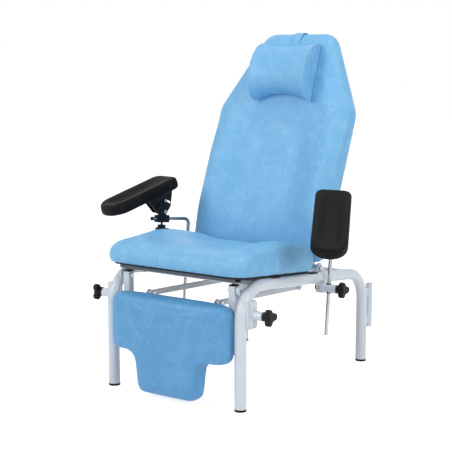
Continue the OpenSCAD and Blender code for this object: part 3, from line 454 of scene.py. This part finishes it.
def finish_tree(tree, geometry, inp):
    real = wired(tree, "GeometryNodeRealizeInstances", Geometry=geometry)
    paint = wired(tree, "GeometryNodeSetMaterial", Geometry=real.outputs[0], Material=inp["Material"])
    tree.links.new(paint.outputs[0], tree.nodes.new("NodeGroupOutput").inputs[0])
    return tree


def share_of(tree, value, by):
    m = wired(tree, "ShaderNodeMath")
    m.operation = "MULTIPLY"
    tree.links.new(value, m.inputs[0])
    m.inputs[1].default_value = by
    return m.outputs[0]


def lifted(tree, mesh, height):
    """The mesh moved up along Z."""
    place = wired(tree, "ShaderNodeCombineXYZ", Z=height)
    return wired(tree, "GeometryNodeTransform", Geometry=mesh, Translation=place.outputs[0]).outputs[0]


def line_object(name, points, closed, matrix):
    """Points joined by edges, as input of a Geometry Nodes graph."""
    mesh = bpy.data.meshes.new(name)
    n = len(points)
    edges = [(i, (i + 1) % n) for i in range(n if closed else n - 1)]
    mesh.from_pydata([tuple(map(float, p)) for p in points], edges, [])
    mesh.transform(matrix)
    obj = bpy.data.objects.new(name, mesh)
    scene.collection.objects.link(obj)
    return obj


def grow(obj, tree, **values):
    """Run the graph on obj with the named inputs and keep the result."""
    nodes = obj.modifiers.new("nodes", "NODES")
    nodes.node_group = tree
    for item in tree.interface.items_tree:
        if item.in_out == "INPUT" and item.name in values:
            nodes[item.identifier] = values[item.name]
    evaluated_copy(obj)
    return smooth(obj)


# %% Cord along a line
cord_tree, inp = node_tree("cord_along_line", [("Radius", LENGTH), ("Sides", COUNT)])
circle = wired(cord_tree, "GeometryNodeCurvePrimitiveCircle",
               Resolution=inp["Sides"], Radius=inp["Radius"])
to_curve = wired(cord_tree, "GeometryNodeMeshToCurve", Mesh=inp["Geometry"])
sweep = wired(cord_tree, "GeometryNodeCurveToMesh",
              Curve=to_curve.outputs[0], Profile_Curve=circle.outputs[0])
finish_tree(cord_tree, sweep.outputs[0], inp)
print("graph:", cord_tree.name)

# %% [markdown]
# A row of stitches is one short thread on points that are evenly spaced along the line, each
# turned along it.

# %% Stitches along a line
stitch_tree, inp = node_tree(
    "stitches_along_line", [("Spacing", LENGTH), ("Length", LENGTH), ("Radius", LENGTH)])
to_curve = wired(stitch_tree, "GeometryNodeMeshToCurve", Mesh=inp["Geometry"])
to_points = stitch_tree.nodes.new("GeometryNodeCurveToPoints")
to_points.mode = "LENGTH"
stitch_tree.links.new(to_curve.outputs[0], to_points.inputs["Curve"])
stitch_tree.links.new(inp["Spacing"], to_points.inputs["Length"])
one_thread = wired(stitch_tree, "GeometryNodeMeshCylinder",
                   Vertices=6, Radius=inp["Radius"], Depth=inp["Length"])
align = wired(stitch_tree, "FunctionNodeAlignEulerToVector", Vector=to_points.outputs["Tangent"])
align.axis = "Z"
put = wired(stitch_tree, "GeometryNodeInstanceOnPoints", Points=to_points.outputs["Points"],
            Instance=one_thread.outputs[0], Rotation=align.outputs[0])
finish_tree(stitch_tree, put.outputs[0], inp)
print("graph:", stitch_tree.name)

# %% [markdown]
# A screw head is a flat cone with a six-sided recess cut from its top. It stands on each
# point and looks along the direction that is stored there as "aim".

# %% Screws on points
screw_tree, inp = node_tree("screws_on_points", [("Radius", LENGTH), ("Height", LENGTH)])
head = wired(screw_tree, "GeometryNodeMeshCone", Vertices=36, Radius_Bottom=inp["Radius"],
             Radius_Top=share_of(screw_tree, inp["Radius"], 0.84), Depth=inp["Height"])
key_hole = wired(screw_tree, "GeometryNodeMeshCylinder", Vertices=6,
                 Radius=share_of(screw_tree, inp["Radius"], 0.46), Depth=inp["Height"])
recess = screw_tree.nodes.new("GeometryNodeMeshBoolean")
recess.operation = "DIFFERENCE"
screw_tree.links.new(head.outputs[0], recess.inputs[0])
screw_tree.links.new(lifted(screw_tree, key_hole.outputs[0], inp["Height"]), recess.inputs[1])
aim = screw_tree.nodes.new("GeometryNodeInputNamedAttribute")
aim.data_type = "FLOAT_VECTOR"
aim.inputs["Name"].default_value = "aim"
align = wired(screw_tree, "FunctionNodeAlignEulerToVector", Vector=aim.outputs["Attribute"])
align.axis = "Z"
put = wired(screw_tree, "GeometryNodeInstanceOnPoints", Points=inp["Geometry"], Instance=recess.outputs[0],
            Rotation=align.outputs[0])
finish_tree(screw_tree, put.outputs[0], inp)
print("graph:", screw_tree.name)

# %% [markdown]
# ## Materials
# Effects that several materials share are node groups that give only colours and masks:
# the clouded print of the vinyl, and fine grain for bumps. The shader, its roughness and
# its coat stay in each material. All coordinates are the object's own.

# %% Node group tools


def shader_group(name, inputs, outputs):
    tree = bpy.data.node_groups.new(name, "ShaderNodeTree")
    for label, kind, value in inputs:
        sock = tree.interface.new_socket(label, in_out="INPUT", socket_type=kind)
        sock.default_value = value
    for label, kind in outputs:
        tree.interface.new_socket(label, in_out="OUTPUT", socket_type=kind)
    return tree, tree.nodes.new("NodeGroupInput"), tree.nodes.new("NodeGroupOutput")


def noise(tree, vector, scale, detail=4.0, rough=0.55):
    n = tree.nodes.new("ShaderNodeTexNoise")
    n.inputs["Detail"].default_value = detail
    n.inputs["Roughness"].default_value = rough
    if isinstance(scale, (int, float)):
        n.inputs["Scale"].default_value = scale
    else:
        tree.links.new(scale, n.inputs["Scale"])
    tree.links.new(vector, n.inputs["Vector"])
    return n.outputs["Fac"]


def spread(tree, value, lo, hi, to_lo=0.0, to_hi=1.0):
    m = tree.nodes.new("ShaderNodeMapRange")
    m.interpolation_type = "SMOOTHSTEP"
    for label, v in (("From Min", lo), ("From Max", hi), ("To Min", to_lo), ("To Max", to_hi)):
        m.inputs[label].default_value = v
    tree.links.new(value, m.inputs["Value"])
    return m.outputs["Result"]


def mix_colour(tree, factor, a, b):
    m = tree.nodes.new("ShaderNodeMix")
    m.data_type = "RGBA"
    tree.links.new(factor, m.inputs[0])
    for sock, v in ((m.inputs[6], a), (m.inputs[7], b)):
        if isinstance(v, (tuple, list)):
            sock.default_value = (*v, 1)
        else:
            tree.links.new(v, sock)
    return m.outputs[2]


def maths(tree, kind, a, b=None):
    m = tree.nodes.new("ShaderNodeMath")
    m.operation = kind
    for sock, v in zip(m.inputs, (a, b)):
        if v is None:
            continue
        if isinstance(v, (int, float)):
            sock.default_value = v
        else:
            tree.links.new(v, sock)
    return m.outputs[0]


# %% Clouded print
COL, VEC, VAL = "NodeSocketColor", "NodeSocketVector", "NodeSocketFloat"

clouds, gi, go = shader_group(
    "clouded_print",
    [("Vector", VEC, (0, 0, 0)), ("Base", COL, (0.2, 0.5, 0.8, 1)), ("Light", COL, (0.3, 0.6, 0.9, 1)),
     ("Deep", COL, (0.1, 0.4, 0.7, 1)), ("Size", VAL, 22.0)],
    [("Colour", COL), ("Mask", VAL)])
broad = noise(clouds, gi.outputs["Vector"], gi.outputs["Size"], 5.0, 0.62)
finer = noise(clouds, gi.outputs["Vector"], maths(clouds, "MULTIPLY", gi.outputs["Size"], 5.3), 4.0, 0.7)
both = maths(clouds, "ADD", maths(clouds, "MULTIPLY", broad, 0.6), maths(clouds, "MULTIPLY", finer, 0.4))
light = spread(clouds, both, 0.42, 0.68)
deep = spread(clouds, finer, 0.36, 0.5, 1.0, 0.0)
first = mix_colour(clouds, light, gi.outputs["Base"], gi.outputs["Light"])
last = mix_colour(clouds, maths(clouds, "MULTIPLY", deep, 0.3), first, gi.outputs["Deep"])
clouds.links.new(last, go.inputs["Colour"])
clouds.links.new(light, go.inputs["Mask"])
print("effect:", clouds.name)

# %% [markdown]
# The surface of vinyl, foam and coated metal is never quite smooth: small cells give the
# grain, and a slow noise gives the waves in it.

# %% Fine grain
grain, gi, go = shader_group(
    "fine_grain",
    [("Vector", VEC, (0, 0, 0)), ("Cell", VAL, 700.0), ("Undulation", VAL, 60.0)],
    [("Height", VAL)])
cells = grain.nodes.new("ShaderNodeTexVoronoi")
cells.feature = "SMOOTH_F1"
grain.links.new(gi.outputs["Vector"], cells.inputs["Vector"])
grain.links.new(gi.outputs["Cell"], cells.inputs["Scale"])
wave = noise(grain, gi.outputs["Vector"], gi.outputs["Undulation"], 3.0)
height = maths(grain, "ADD", maths(grain, "MULTIPLY", cells.outputs["Distance"], 0.5), wave)
grain.links.new(height, go.inputs["Height"])
print("effect:", grain.name)

# %% [markdown]
# Every material is a Principled shader whose colour and roughness vary a little. The plain
# values sit on its own sockets, because the export reads them there.

# %% Material maker


def material(name, slot_sockets, colour, rough, bump=None, clouding=None, tone=None):
    """A Principled material with a low and a high roughness.

    bump is (cells per m, waves per m, height in m); clouding is (light, deep, size).
    """
    mat = bpy.data.materials.new(name)
    mat.use_nodes = True
    tree = mat.node_tree
    tree.nodes.clear()
    out = tree.nodes.new("ShaderNodeOutputMaterial")
    shader = tree.nodes.new("ShaderNodeBsdfPrincipled")
    tree.links.new(shader.outputs[0], out.inputs["Surface"])
    for label, v in slot_sockets.items():
        shader.inputs[label].default_value = v
    place = tree.nodes.new("ShaderNodeTexCoord").outputs["Object"]
    shade = spread(tree, noise(tree, place, 9.0, 3.0), 0.3, 0.7)
    if clouding:
        g = tree.nodes.new("ShaderNodeGroup")
        g.node_tree = clouds
        g.inputs["Base"].default_value = (*colour, 1)
        g.inputs["Light"].default_value = (*clouding[0], 1)
        g.inputs["Deep"].default_value = (*clouding[1], 1)
        g.inputs["Size"].default_value = clouding[2]
        tree.links.new(place, g.inputs["Vector"])
        tree.links.new(g.outputs["Colour"], shader.inputs["Base Color"])
    else:
        other = tone or tuple(c * 0.86 for c in colour)
        tree.links.new(mix_colour(tree, shade, colour, other), shader.inputs["Base Color"])
    fine = noise(tree, place, 150.0, 3.0)
    both = maths(tree, "ADD", maths(tree, "MULTIPLY", shade, 0.5), maths(tree, "MULTIPLY", fine, 0.5))
    tree.links.new(spread(tree, both, 0.2, 0.8, rough[0], rough[1]), shader.inputs["Roughness"])
    if bump:
        g = tree.nodes.new("ShaderNodeGroup")
        g.node_tree = grain
        g.inputs["Cell"].default_value, g.inputs["Undulation"].default_value = bump[0], bump[1]
        tree.links.new(place, g.inputs["Vector"])
        b = tree.nodes.new("ShaderNodeBump")
        b.inputs["Strength"].default_value = 1.0
        b.inputs["Distance"].default_value = bump[2]
        tree.links.new(g.outputs["Height"], b.inputs["Height"])
        tree.links.new(b.outputs["Normal"], shader.inputs["Normal"])
    return mat


# %% [markdown]
# The upholstery is sky blue vinyl with a soft clouded print. The leg section gets a darker copy of it,
# painted shade, since it hangs upright away from the light. Frame parts are coated a pale grey, and the
# rods are dull chrome.

# %% Materials of the chair
VINYL = {"Specular IOR Level": 0.4, "Coat Weight": 0.04, "Coat Roughness": 0.34}
VINYL_ROUGH, VINYL_GRAIN, CLOUD_SIZE = (0.42, 0.54), (900.0, 26.0, 0.00035), 20.0
SKY, SKY_LIGHT, SKY_DEEP = (0.188, 0.490, 0.800), (0.250, 0.570, 0.870), (0.140, 0.415, 0.725)
vinyl = material("sky_vinyl", VINYL, SKY, VINYL_ROUGH, VINYL_GRAIN, (SKY_LIGHT, SKY_DEEP, CLOUD_SIZE))
# Painted shade: the leg section's vinyl is the seat's vinyl, coloured darker because the leg hangs upright
# away from the light.
vinyl_leg_painted_shade = material("sky_vinyl_leg_painted_shade", VINYL, (0.118, 0.370, 0.680), VINYL_ROUGH, VINYL_GRAIN,
                     ((0.160, 0.435, 0.745), (0.090, 0.310, 0.605), CLOUD_SIZE))
# Painted highlight: the piping is coloured paler than the cover to stand in for the light caught on its
# round cord.
pale_vinyl_painted_highlight = material("piping_vinyl_painted_highlight", {"Specular IOR Level": 0.5}, (0.31, 0.60, 0.86), (0.3, 0.4),
                      (1500.0, 120.0, 0.0001))
thread = material("thread", {"Specular IOR Level": 0.3}, (0.30, 0.56, 0.80), (0.5, 0.7),
                  (4000.0, 900.0, 0.00005))
coat = material("powder_coat", {"Specular IOR Level": 0.5, "Coat Weight": 0.25, "Coat Roughness": 0.12},
                (0.725, 0.78, 0.845), (0.26, 0.36), (1400.0, 420.0, 0.00006), tone=(0.69, 0.75, 0.82))
black = material("moulded_black", {"Specular IOR Level": 0.14}, (0.009, 0.009, 0.010), (0.36, 0.5),
                 (1800.0, 300.0, 0.00008), tone=(0.014, 0.014, 0.016))
lining = material("board_lining", {"Specular IOR Level": 0.15}, (0.018, 0.018, 0.02), (0.6, 0.8),
                  (2200.0, 200.0, 0.00012), tone=(0.028, 0.028, 0.03))
grey = material("grey_bar", {"Specular IOR Level": 0.5}, (0.115, 0.145, 0.20), (0.3, 0.42),
                (1400.0, 300.0, 0.00005), tone=(0.15, 0.185, 0.245))
dark_coat = material("black_coat", {"Specular IOR Level": 0.16},
                     (0.009, 0.009, 0.010), (0.3, 0.42), (1200.0, 380.0, 0.00008),
                     tone=(0.014, 0.014, 0.015))
foam = material("skinned_foam", {"Specular IOR Level": 0.08}, (0.006, 0.006, 0.007), (0.42, 0.54),
                (650.0, 40.0, 0.00018), tone=(0.011, 0.011, 0.012))
chrome = material("chrome", {"Metallic": 1.0}, (0.46, 0.47, 0.49), (0.12, 0.2),
                  (600.0, 14.0, 0.00002), tone=(0.38, 0.39, 0.41))
zinc = material("zinc", {"Metallic": 1.0}, (0.58, 0.60, 0.63), (0.26, 0.42),
                (1500.0, 120.0, 0.00005), tone=(0.50, 0.52, 0.55))
print("materials:", len(bpy.data.materials))

# %% [markdown]
# Each CAD node says in the record which material slot it has, so one table dresses them all.

# %% Dressing the nodes and the covers
BY_SLOT = {"white_frame": coat, "blue_vinyl": vinyl, "black_plastic": black,
           "black_board": lining, "grey_bar": grey, "black_steel": dark_coat,
           "black_foam": foam, "chrome": chrome, "zinc": zinc}


def paint(obj, mat):
    obj.data.materials.clear()
    obj.data.materials.append(mat)


slots = {part["node"]: part["material_slot"] for part in frame["record"]["subparts"]}
for node, obj in frame["nodes"].items():
    paint(obj, BY_SLOT[slots[node]])
for obj, mat in ((seat_cover, vinyl), (back_cover, vinyl), (pillow_cover, vinyl), (leg_cover, vinyl_leg_painted_shade)):
    paint(obj, mat)
print("dressed:", len(slots), "nodes and 4 covers")

# %% [markdown]
# ## Piping and stitches of the pillow
# The rim of each end panel carries a cord coloured a paler blue than the cover as a painted highlight, and
# a row of stitches runs just inside it.
# Both lines are drawn onto the puffed cover first, so that they lie on it.

# %% Pillow trim
pillow_faces = BVHTree.FromPolygons([v.co for v in pillow_cover.data.vertices],
                                    [p.vertices[:] for p in pillow_cover.data.polygons])


def drawn_on_pillow(ring, lift):
    """The ring in the model's frame, moved onto the puffed cover and off it by lift."""
    out = []
    for point in ring:
        place, normal, _, _ = pillow_faces.find_nearest(BACK @ Vector(point))
        out.append(place + normal * lift)
    return out


for side, sign in SIDES.items():
    edge = pillow_ring(sign * (half + 0.002), -0.002, 150)
    edge[:, 2] = np.maximum(edge[:, 2], PILLOW_SEAT + 0.0035)
    rim = drawn_on_pillow(edge, 0.0004)
    cord_piece = grow(line_object("pillow_piping_" + side, rim, True, Matrix()), cord_tree,
                      Radius=0.0017, Sides=10, Material=pale_vinyl_painted_highlight)
    seam = drawn_on_pillow(pillow_ring(sign * (half - 0.010), 0.0, 260), 0.0001)
    row = grow(line_object("pillow_stitches_" + side, seam, True, Matrix()), stitch_tree,
               Spacing=0.0052, Length=0.0034, Radius=0.00032, Material=thread)
    for piece in (cord_piece, row):
        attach(piece, "pillow")
print("pillow trim: piping and stitches on both ends")

# %% [markdown]
# ## Strap over the head end
# A flat band runs from behind the pillow over the top and down the rear. It is lofted along
# the cover's own section at the middle, with round edges and two rows of stitches.

# %% Strap
STRAP_W = 0.038
STRAP_GAP, REAR_IN, REAR_BEND = -0.0008, 0.0122, 0.018
STRAP_END = BACK_TOP - 0.150


def cover_line(points=70):
    """Section (v, n) of the back cover at its middle, from the face to its rear edge."""
    share, up = fine_profile(PROFILE, points)[::-1].T
    mid = BACK_FOOT + BACK_L * 0.46
    v = mid + (BACK_TOP - mid) * share
    return np.stack([v, BACK_SEAT + up * (back_face(0 * v, v) - BACK_SEAT)], -1)[v > STRAP_END - 0.02]


def strap_path(off, steps=18):
    """Line along the strap in (v, n), off its inner side by off."""
    line = cover_line()
    along = np.gradient(line, axis=0)
    outward = np.stack([along[:, 1], -along[:, 0]], -1)
    outward *= -1 / np.linalg.norm(outward, axis=1)[:, None]
    front = line + outward * (STRAP_GAP + off)
    front = front[(front[:, 0] > STRAP_END) & (front[:, 1] > BACK_SEAT + 0.006)]
    start = front[-1] + (0, -0.004)
    quarter = np.linspace(0, math.pi / 2, steps)
    rear = REAR_BEND + off
    mid = np.array((start[0] - rear, REAR_IN - off + rear))
    turn = [mid + rear * np.array((math.cos(t), -math.sin(t))) for t in quarter]
    tail = [(v, REAR_IN - off) for v in np.linspace(mid[0], STRAP_END, 30)[1:]]
    return np.array([*front, *turn, *tail])


inner, outer = strap_path(0.0001), strap_path(STRAP_T - 0.0001)
section = [(-1, 0.12), (-0.985, 0.02), (-0.93, 0.0), (0.93, 0.0), (0.985, 0.02), (1, 0.12),
           (1, 0.88), (0.985, 0.98), (0.93, 1.0), (0.0, 1.06), (-0.93, 1.0), (-0.985, 0.98), (-1, 0.88)]
rings = []
for a, b in zip(inner, outer):
    ring = [(u * STRAP_W / 2, *(a + (b - a) * w)) for u, w in section]
    rings.append(ring)
strap = skin("head_strap_band", rings, BACK)
strap.data.materials.append(vinyl)
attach(strap, "back")
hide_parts("head_strap")
for k, sign in enumerate((-1, 1)):
    line = [(sign * (STRAP_W / 2 - 0.003), *p) for p in strap_path(STRAP_T + 0.0001)]
    row = grow(line_object("strap_stitches_%d" % k, line, False, BACK), stitch_tree,
               Spacing=0.0045, Length=0.003, Radius=0.0003, Material=thread)
    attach(row, "back")
print("strap: %d faces" % len(strap.data.polygons))

# %% [markdown]
# ## Arm gutters
# A pad of skinned foam with a round rim, squarer at the elbow than at the hand. Its shallow
# channel fades towards both ends.

# %% Gutters
GL, GW, GH, DIP, TAIL, CHEEK = 0.312, 0.122, 0.042, 0.013, 0.070, 0.077
GUTTER_PROFILE = np.array([
    (0.93, 0), (0.975, 0.06), (1, 0.22), (1, 0.6), (0.985, 0.82), (0.95, 0.95),
    (0.9, 1), (0.84, 1), (0.74, 1), (0.6, 1), (0.44, 1), (0.26, 1), (0.08, 1)])


def gutter_top(x, y):
    t = (y + TAIL) / GL
    out = ease((np.abs(x) / GW * 2 - 0.25) / 0.5)
    return GH - DIP * (1 - out) * ease(t / 0.4) * ease((1 - t) / 0.25)


gutter_outline = round_outline(
    [(-GW / 2, -TAIL), (GW / 2, -TAIL), (GW / 2, GL - TAIL), (-GW / 2, GL - TAIL)],
    [0.026, 0.026, 0.056, 0.056], spacing=0.005)
for side in SIDES:
    lying = gutter_frame(side) @ moved(0, 0, CHEEK) @ turned(-math.pi / 2, "Z")
    gutter = cushion("gutter_foam_" + side, gutter_outline, GL / 2 - TAIL, 0.0, gutter_top,
                     lying, GUTTER_PROFILE)
    gutter.data.materials.append(foam)
    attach(gutter, "support_" + side)
    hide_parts("arm_gutter_" + side)
    print("gutter %s: %d faces" % (side, len(gutter.data.polygons)))

# %% [markdown]
# ## Black strips for the shade under the seat
# Between the rubber rests a thin black strip closes the slit between the seat board and the rail: a dark
# sheet put as painted shade where the gap under the cushion lies in shadow.
# It is a plain bar, so its eight corners are written down and skinned as two rings.

# %% Edge strips
STRIP_W, STRIP_FROM, STRIP_TO, STRIP_T = 0.012, 0.110, 0.400, 0.0018
RAIL_X, RAIL_TOP = 0.2685, 0.020
for side, sign in SIDES.items():
    ends = [[(sign * RAIL_X + dx, y, RAIL_TOP + dz)
             for dx, dz in ((-STRIP_W / 2, 0), (STRIP_W / 2, 0),
                            (STRIP_W / 2, STRIP_T), (-STRIP_W / 2, STRIP_T))]
            for y in (STRIP_FROM, STRIP_TO)]
    # Painted shade: the strip is black to darken the gap under the cushion, where there is only shadow.
    strip = skin("seat_shade_strip_" + side, ends, RAIL)
    strip.data.polygons.foreach_set("use_smooth", [False] * len(strip.data.polygons))
    strip.data.materials.append(black)
    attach(strip, "chair")
print("edge strips: %.0f mm long" % ((STRIP_TO - STRIP_FROM) * 1000))

# %% [markdown]
# ## Screws
# The clamp sockets are held by screws with a six-sided recess. One graph puts the same head
# on every place, turned along the direction that is stored with it.

# %% Screws
FLANGE_X, FLANGE_Y, FLANGE_Z = 0.300, 0.030, (0.291, 0.341)
CLAMP_X, CLAMP_Y, CLAMP_Z = 0.286, 0.460, -0.032
spots, aims = [], []
for sign in (-1, 1):
    for z in FLANGE_Z:
        spots.append(PLAN @ Vector((sign * FLANGE_X, FLANGE_Y, z)))
        aims.append(Vector((sign, 0, 0)))
    spots.append(RAIL @ Vector((sign * CLAMP_X, CLAMP_Y, CLAMP_Z)))
    aims.append(RAIL.to_3x3() @ Vector((0, -1, 0)))
places = line_object("socket_screw_heads", spots, False, Matrix())
held = places.data.attributes.new("aim", "FLOAT_VECTOR", "POINT")
held.data.foreach_set("vector", [c for a in aims for c in a])
screws = grow(places, screw_tree, Radius=0.0055, Height=0.003, Material=zinc)
screws.data.polygons.foreach_set("use_smooth", [False] * len(screws.data.polygons))
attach(screws, "chair")
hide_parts("socket_screws")
print("screws: %d heads, %d faces" % (len(spots), len(screws.data.polygons)))

# %% [markdown]
# ## Softer edges on the CAD pieces
# Sheet, tube ends and blocks get a narrow bevel, so that their edges catch the light as
# coated metal does. The CAD meshes themselves stay as they are: this is a modifier.

# %% Edge bevels
BEVELS = {
    "leg_frame": 0.0012, "back_frame": 0.0012, "seat_front_bar": 0.0015, "drip_stand_socket": 0.0006,
    "arm_socket_left": 0.0014, "arm_socket_right": 0.0014,
    "leg_socket_left": 0.0012, "leg_socket_right": 0.0012,
    "seat_board": 0.0012, "back_board": 0.0012, "leg_board": 0.0012,
    "sync_link_left": 0.0012, "sync_link_right": 0.0012,
    "carriage_left": 0.0016, "carriage_right": 0.0016, "yoke_left": 0.0012, "yoke_right": 0.0012,
    "gutter_bracket_left": 0.0007, "gutter_bracket_right": 0.0007, "foot_caps": 0.0012,
    "upright_plugs": 0.0012, "leg_post_plugs": 0.0012, "arm_socket_plugs": 0.0015,
    "rod_cap_left": 0.0012, "rod_cap_right": 0.0012,
}
SHARP = math.radians(40)
for node, width in BEVELS.items():
    edge = frame["nodes"][node].modifiers.new("edge", "BEVEL")
    edge.width, edge.segments = width, 2
    edge.limit_method, edge.angle_limit, edge.harden_normals = "ANGLE", SHARP, False
print("bevels on", len(BEVELS), "nodes")

# %% [markdown]
# ## Floor, light and background
# A pale floor and big soft lights, as in a product photograph. The background is white to
# the camera and to reflections, while the light that falls on the chair is softer.

# %% Floor
FLOOR_HALF, FLOOR_GREY, FLOOR_GLOW = 14, 0.9, 0.75
floor = new_object("floor", [(sx * FLOOR_HALF, sy * FLOOR_HALF, 0)
                             for sx, sy in ((-1, -1), (1, -1), (1, 1), (-1, 1))], [(0, 1, 2, 3)])
floor_mat = bpy.data.materials.new("floor")
floor_mat.use_nodes = True
ft = floor_mat.node_tree
ft.nodes.clear()
f_out = ft.nodes.new("ShaderNodeOutputMaterial")
f_diff = ft.nodes.new("ShaderNodeBsdfDiffuse")
f_diff.inputs["Color"].default_value = (FLOOR_GREY, FLOOR_GREY, FLOOR_GREY, 1)
f_emit = ft.nodes.new("ShaderNodeEmission")
f_emit.inputs["Color"].default_value = (1, 1, 1, 1)
f_emit.inputs["Strength"].default_value = FLOOR_GLOW
f_add = ft.nodes.new("ShaderNodeAddShader")
f_path = ft.nodes.new("ShaderNodeLightPath")
f_mix = ft.nodes.new("ShaderNodeMixShader")
ft.links.new(f_diff.outputs[0], f_add.inputs[0])
ft.links.new(f_emit.outputs[0], f_add.inputs[1])
f_seen = ft.nodes.new("ShaderNodeMath")
f_seen.operation = "MAXIMUM"
ft.links.new(f_path.outputs["Is Camera Ray"], f_seen.inputs[0])
ft.links.new(f_path.outputs["Is Glossy Ray"], f_seen.inputs[1])
ft.links.new(f_seen.outputs[0], f_mix.inputs[0])
ft.links.new(f_diff.outputs[0], f_mix.inputs[1])
ft.links.new(f_add.outputs[0], f_mix.inputs[2])
ft.links.new(f_mix.outputs[0], f_out.inputs["Surface"])
floor.data.materials.append(floor_mat)

# %% Light


def area(name, place, target, size, power):
    data = bpy.data.lights.new(name, "AREA")
    data.shape = "RECTANGLE"
    data.size, data.size_y = size
    data.energy = power
    obj = bpy.data.objects.new(name, data)
    obj.location = place
    obj.rotation_euler = (Vector(target) - Vector(place)).to_track_quat("-Z", "Y").to_euler()
    scene.collection.objects.link(obj)
    return obj


# Name, place, point it looks at, size in metres, power in watts
LAMPS = [
    ("key", (-1.9, -3.4, 2.9), (0, 0, 0.7), (1.5, 2.0), 61),
    ("fill", (3.9, -1.2, 2.2), (0, 0.1, 0.7), (1.3, 2.2), 55),
    ("top", (0.2, 0.2, 3.8), (0, 0, 0.5), (2.6, 2.6), 29)]
for lamp in LAMPS:
    area(*lamp)
print("area lights:", len(LAMPS))

# %% [markdown]
# The world gives camera and glossy rays plain white, and every other ray a weaker, slightly
# cool light.

# %% World
WORLD_LIGHT, WORLD_TINT = 0.42, (0.97, 0.985, 1.0, 1)
world = bpy.data.worlds.new("world")
scene.world = world
world.use_nodes = True
wt = world.node_tree
wt.nodes.clear()
w_out = wt.nodes.new("ShaderNodeOutputWorld")
w_seen, w_lit = wt.nodes.new("ShaderNodeBackground"), wt.nodes.new("ShaderNodeBackground")
w_seen.inputs["Color"].default_value = (1, 1, 1, 1)
w_seen.inputs["Strength"].default_value = 1.0
w_lit.inputs["Color"].default_value = WORLD_TINT
w_lit.inputs["Strength"].default_value = WORLD_LIGHT
w_path, w_mix = wt.nodes.new("ShaderNodeLightPath"), wt.nodes.new("ShaderNodeMixShader")
seen = w_path.outputs["Is Camera Ray"]
for label in ("Is Glossy Ray", "Is Transmission Ray"):
    either = wt.nodes.new("ShaderNodeMath")
    either.operation = "MAXIMUM"
    wt.links.new(seen, either.inputs[0])
    wt.links.new(w_path.outputs[label], either.inputs[1])
    seen = either.outputs[0]
wt.links.new(seen, w_mix.inputs[0])
wt.links.new(w_lit.outputs[0], w_mix.inputs[1])
wt.links.new(w_seen.outputs[0], w_mix.inputs[2])
wt.links.new(w_mix.outputs[0], w_out.inputs["Surface"])
scene.view_settings.view_transform = "Standard"
print("world: white to the camera, %.2f to the chair" % WORLD_LIGHT)
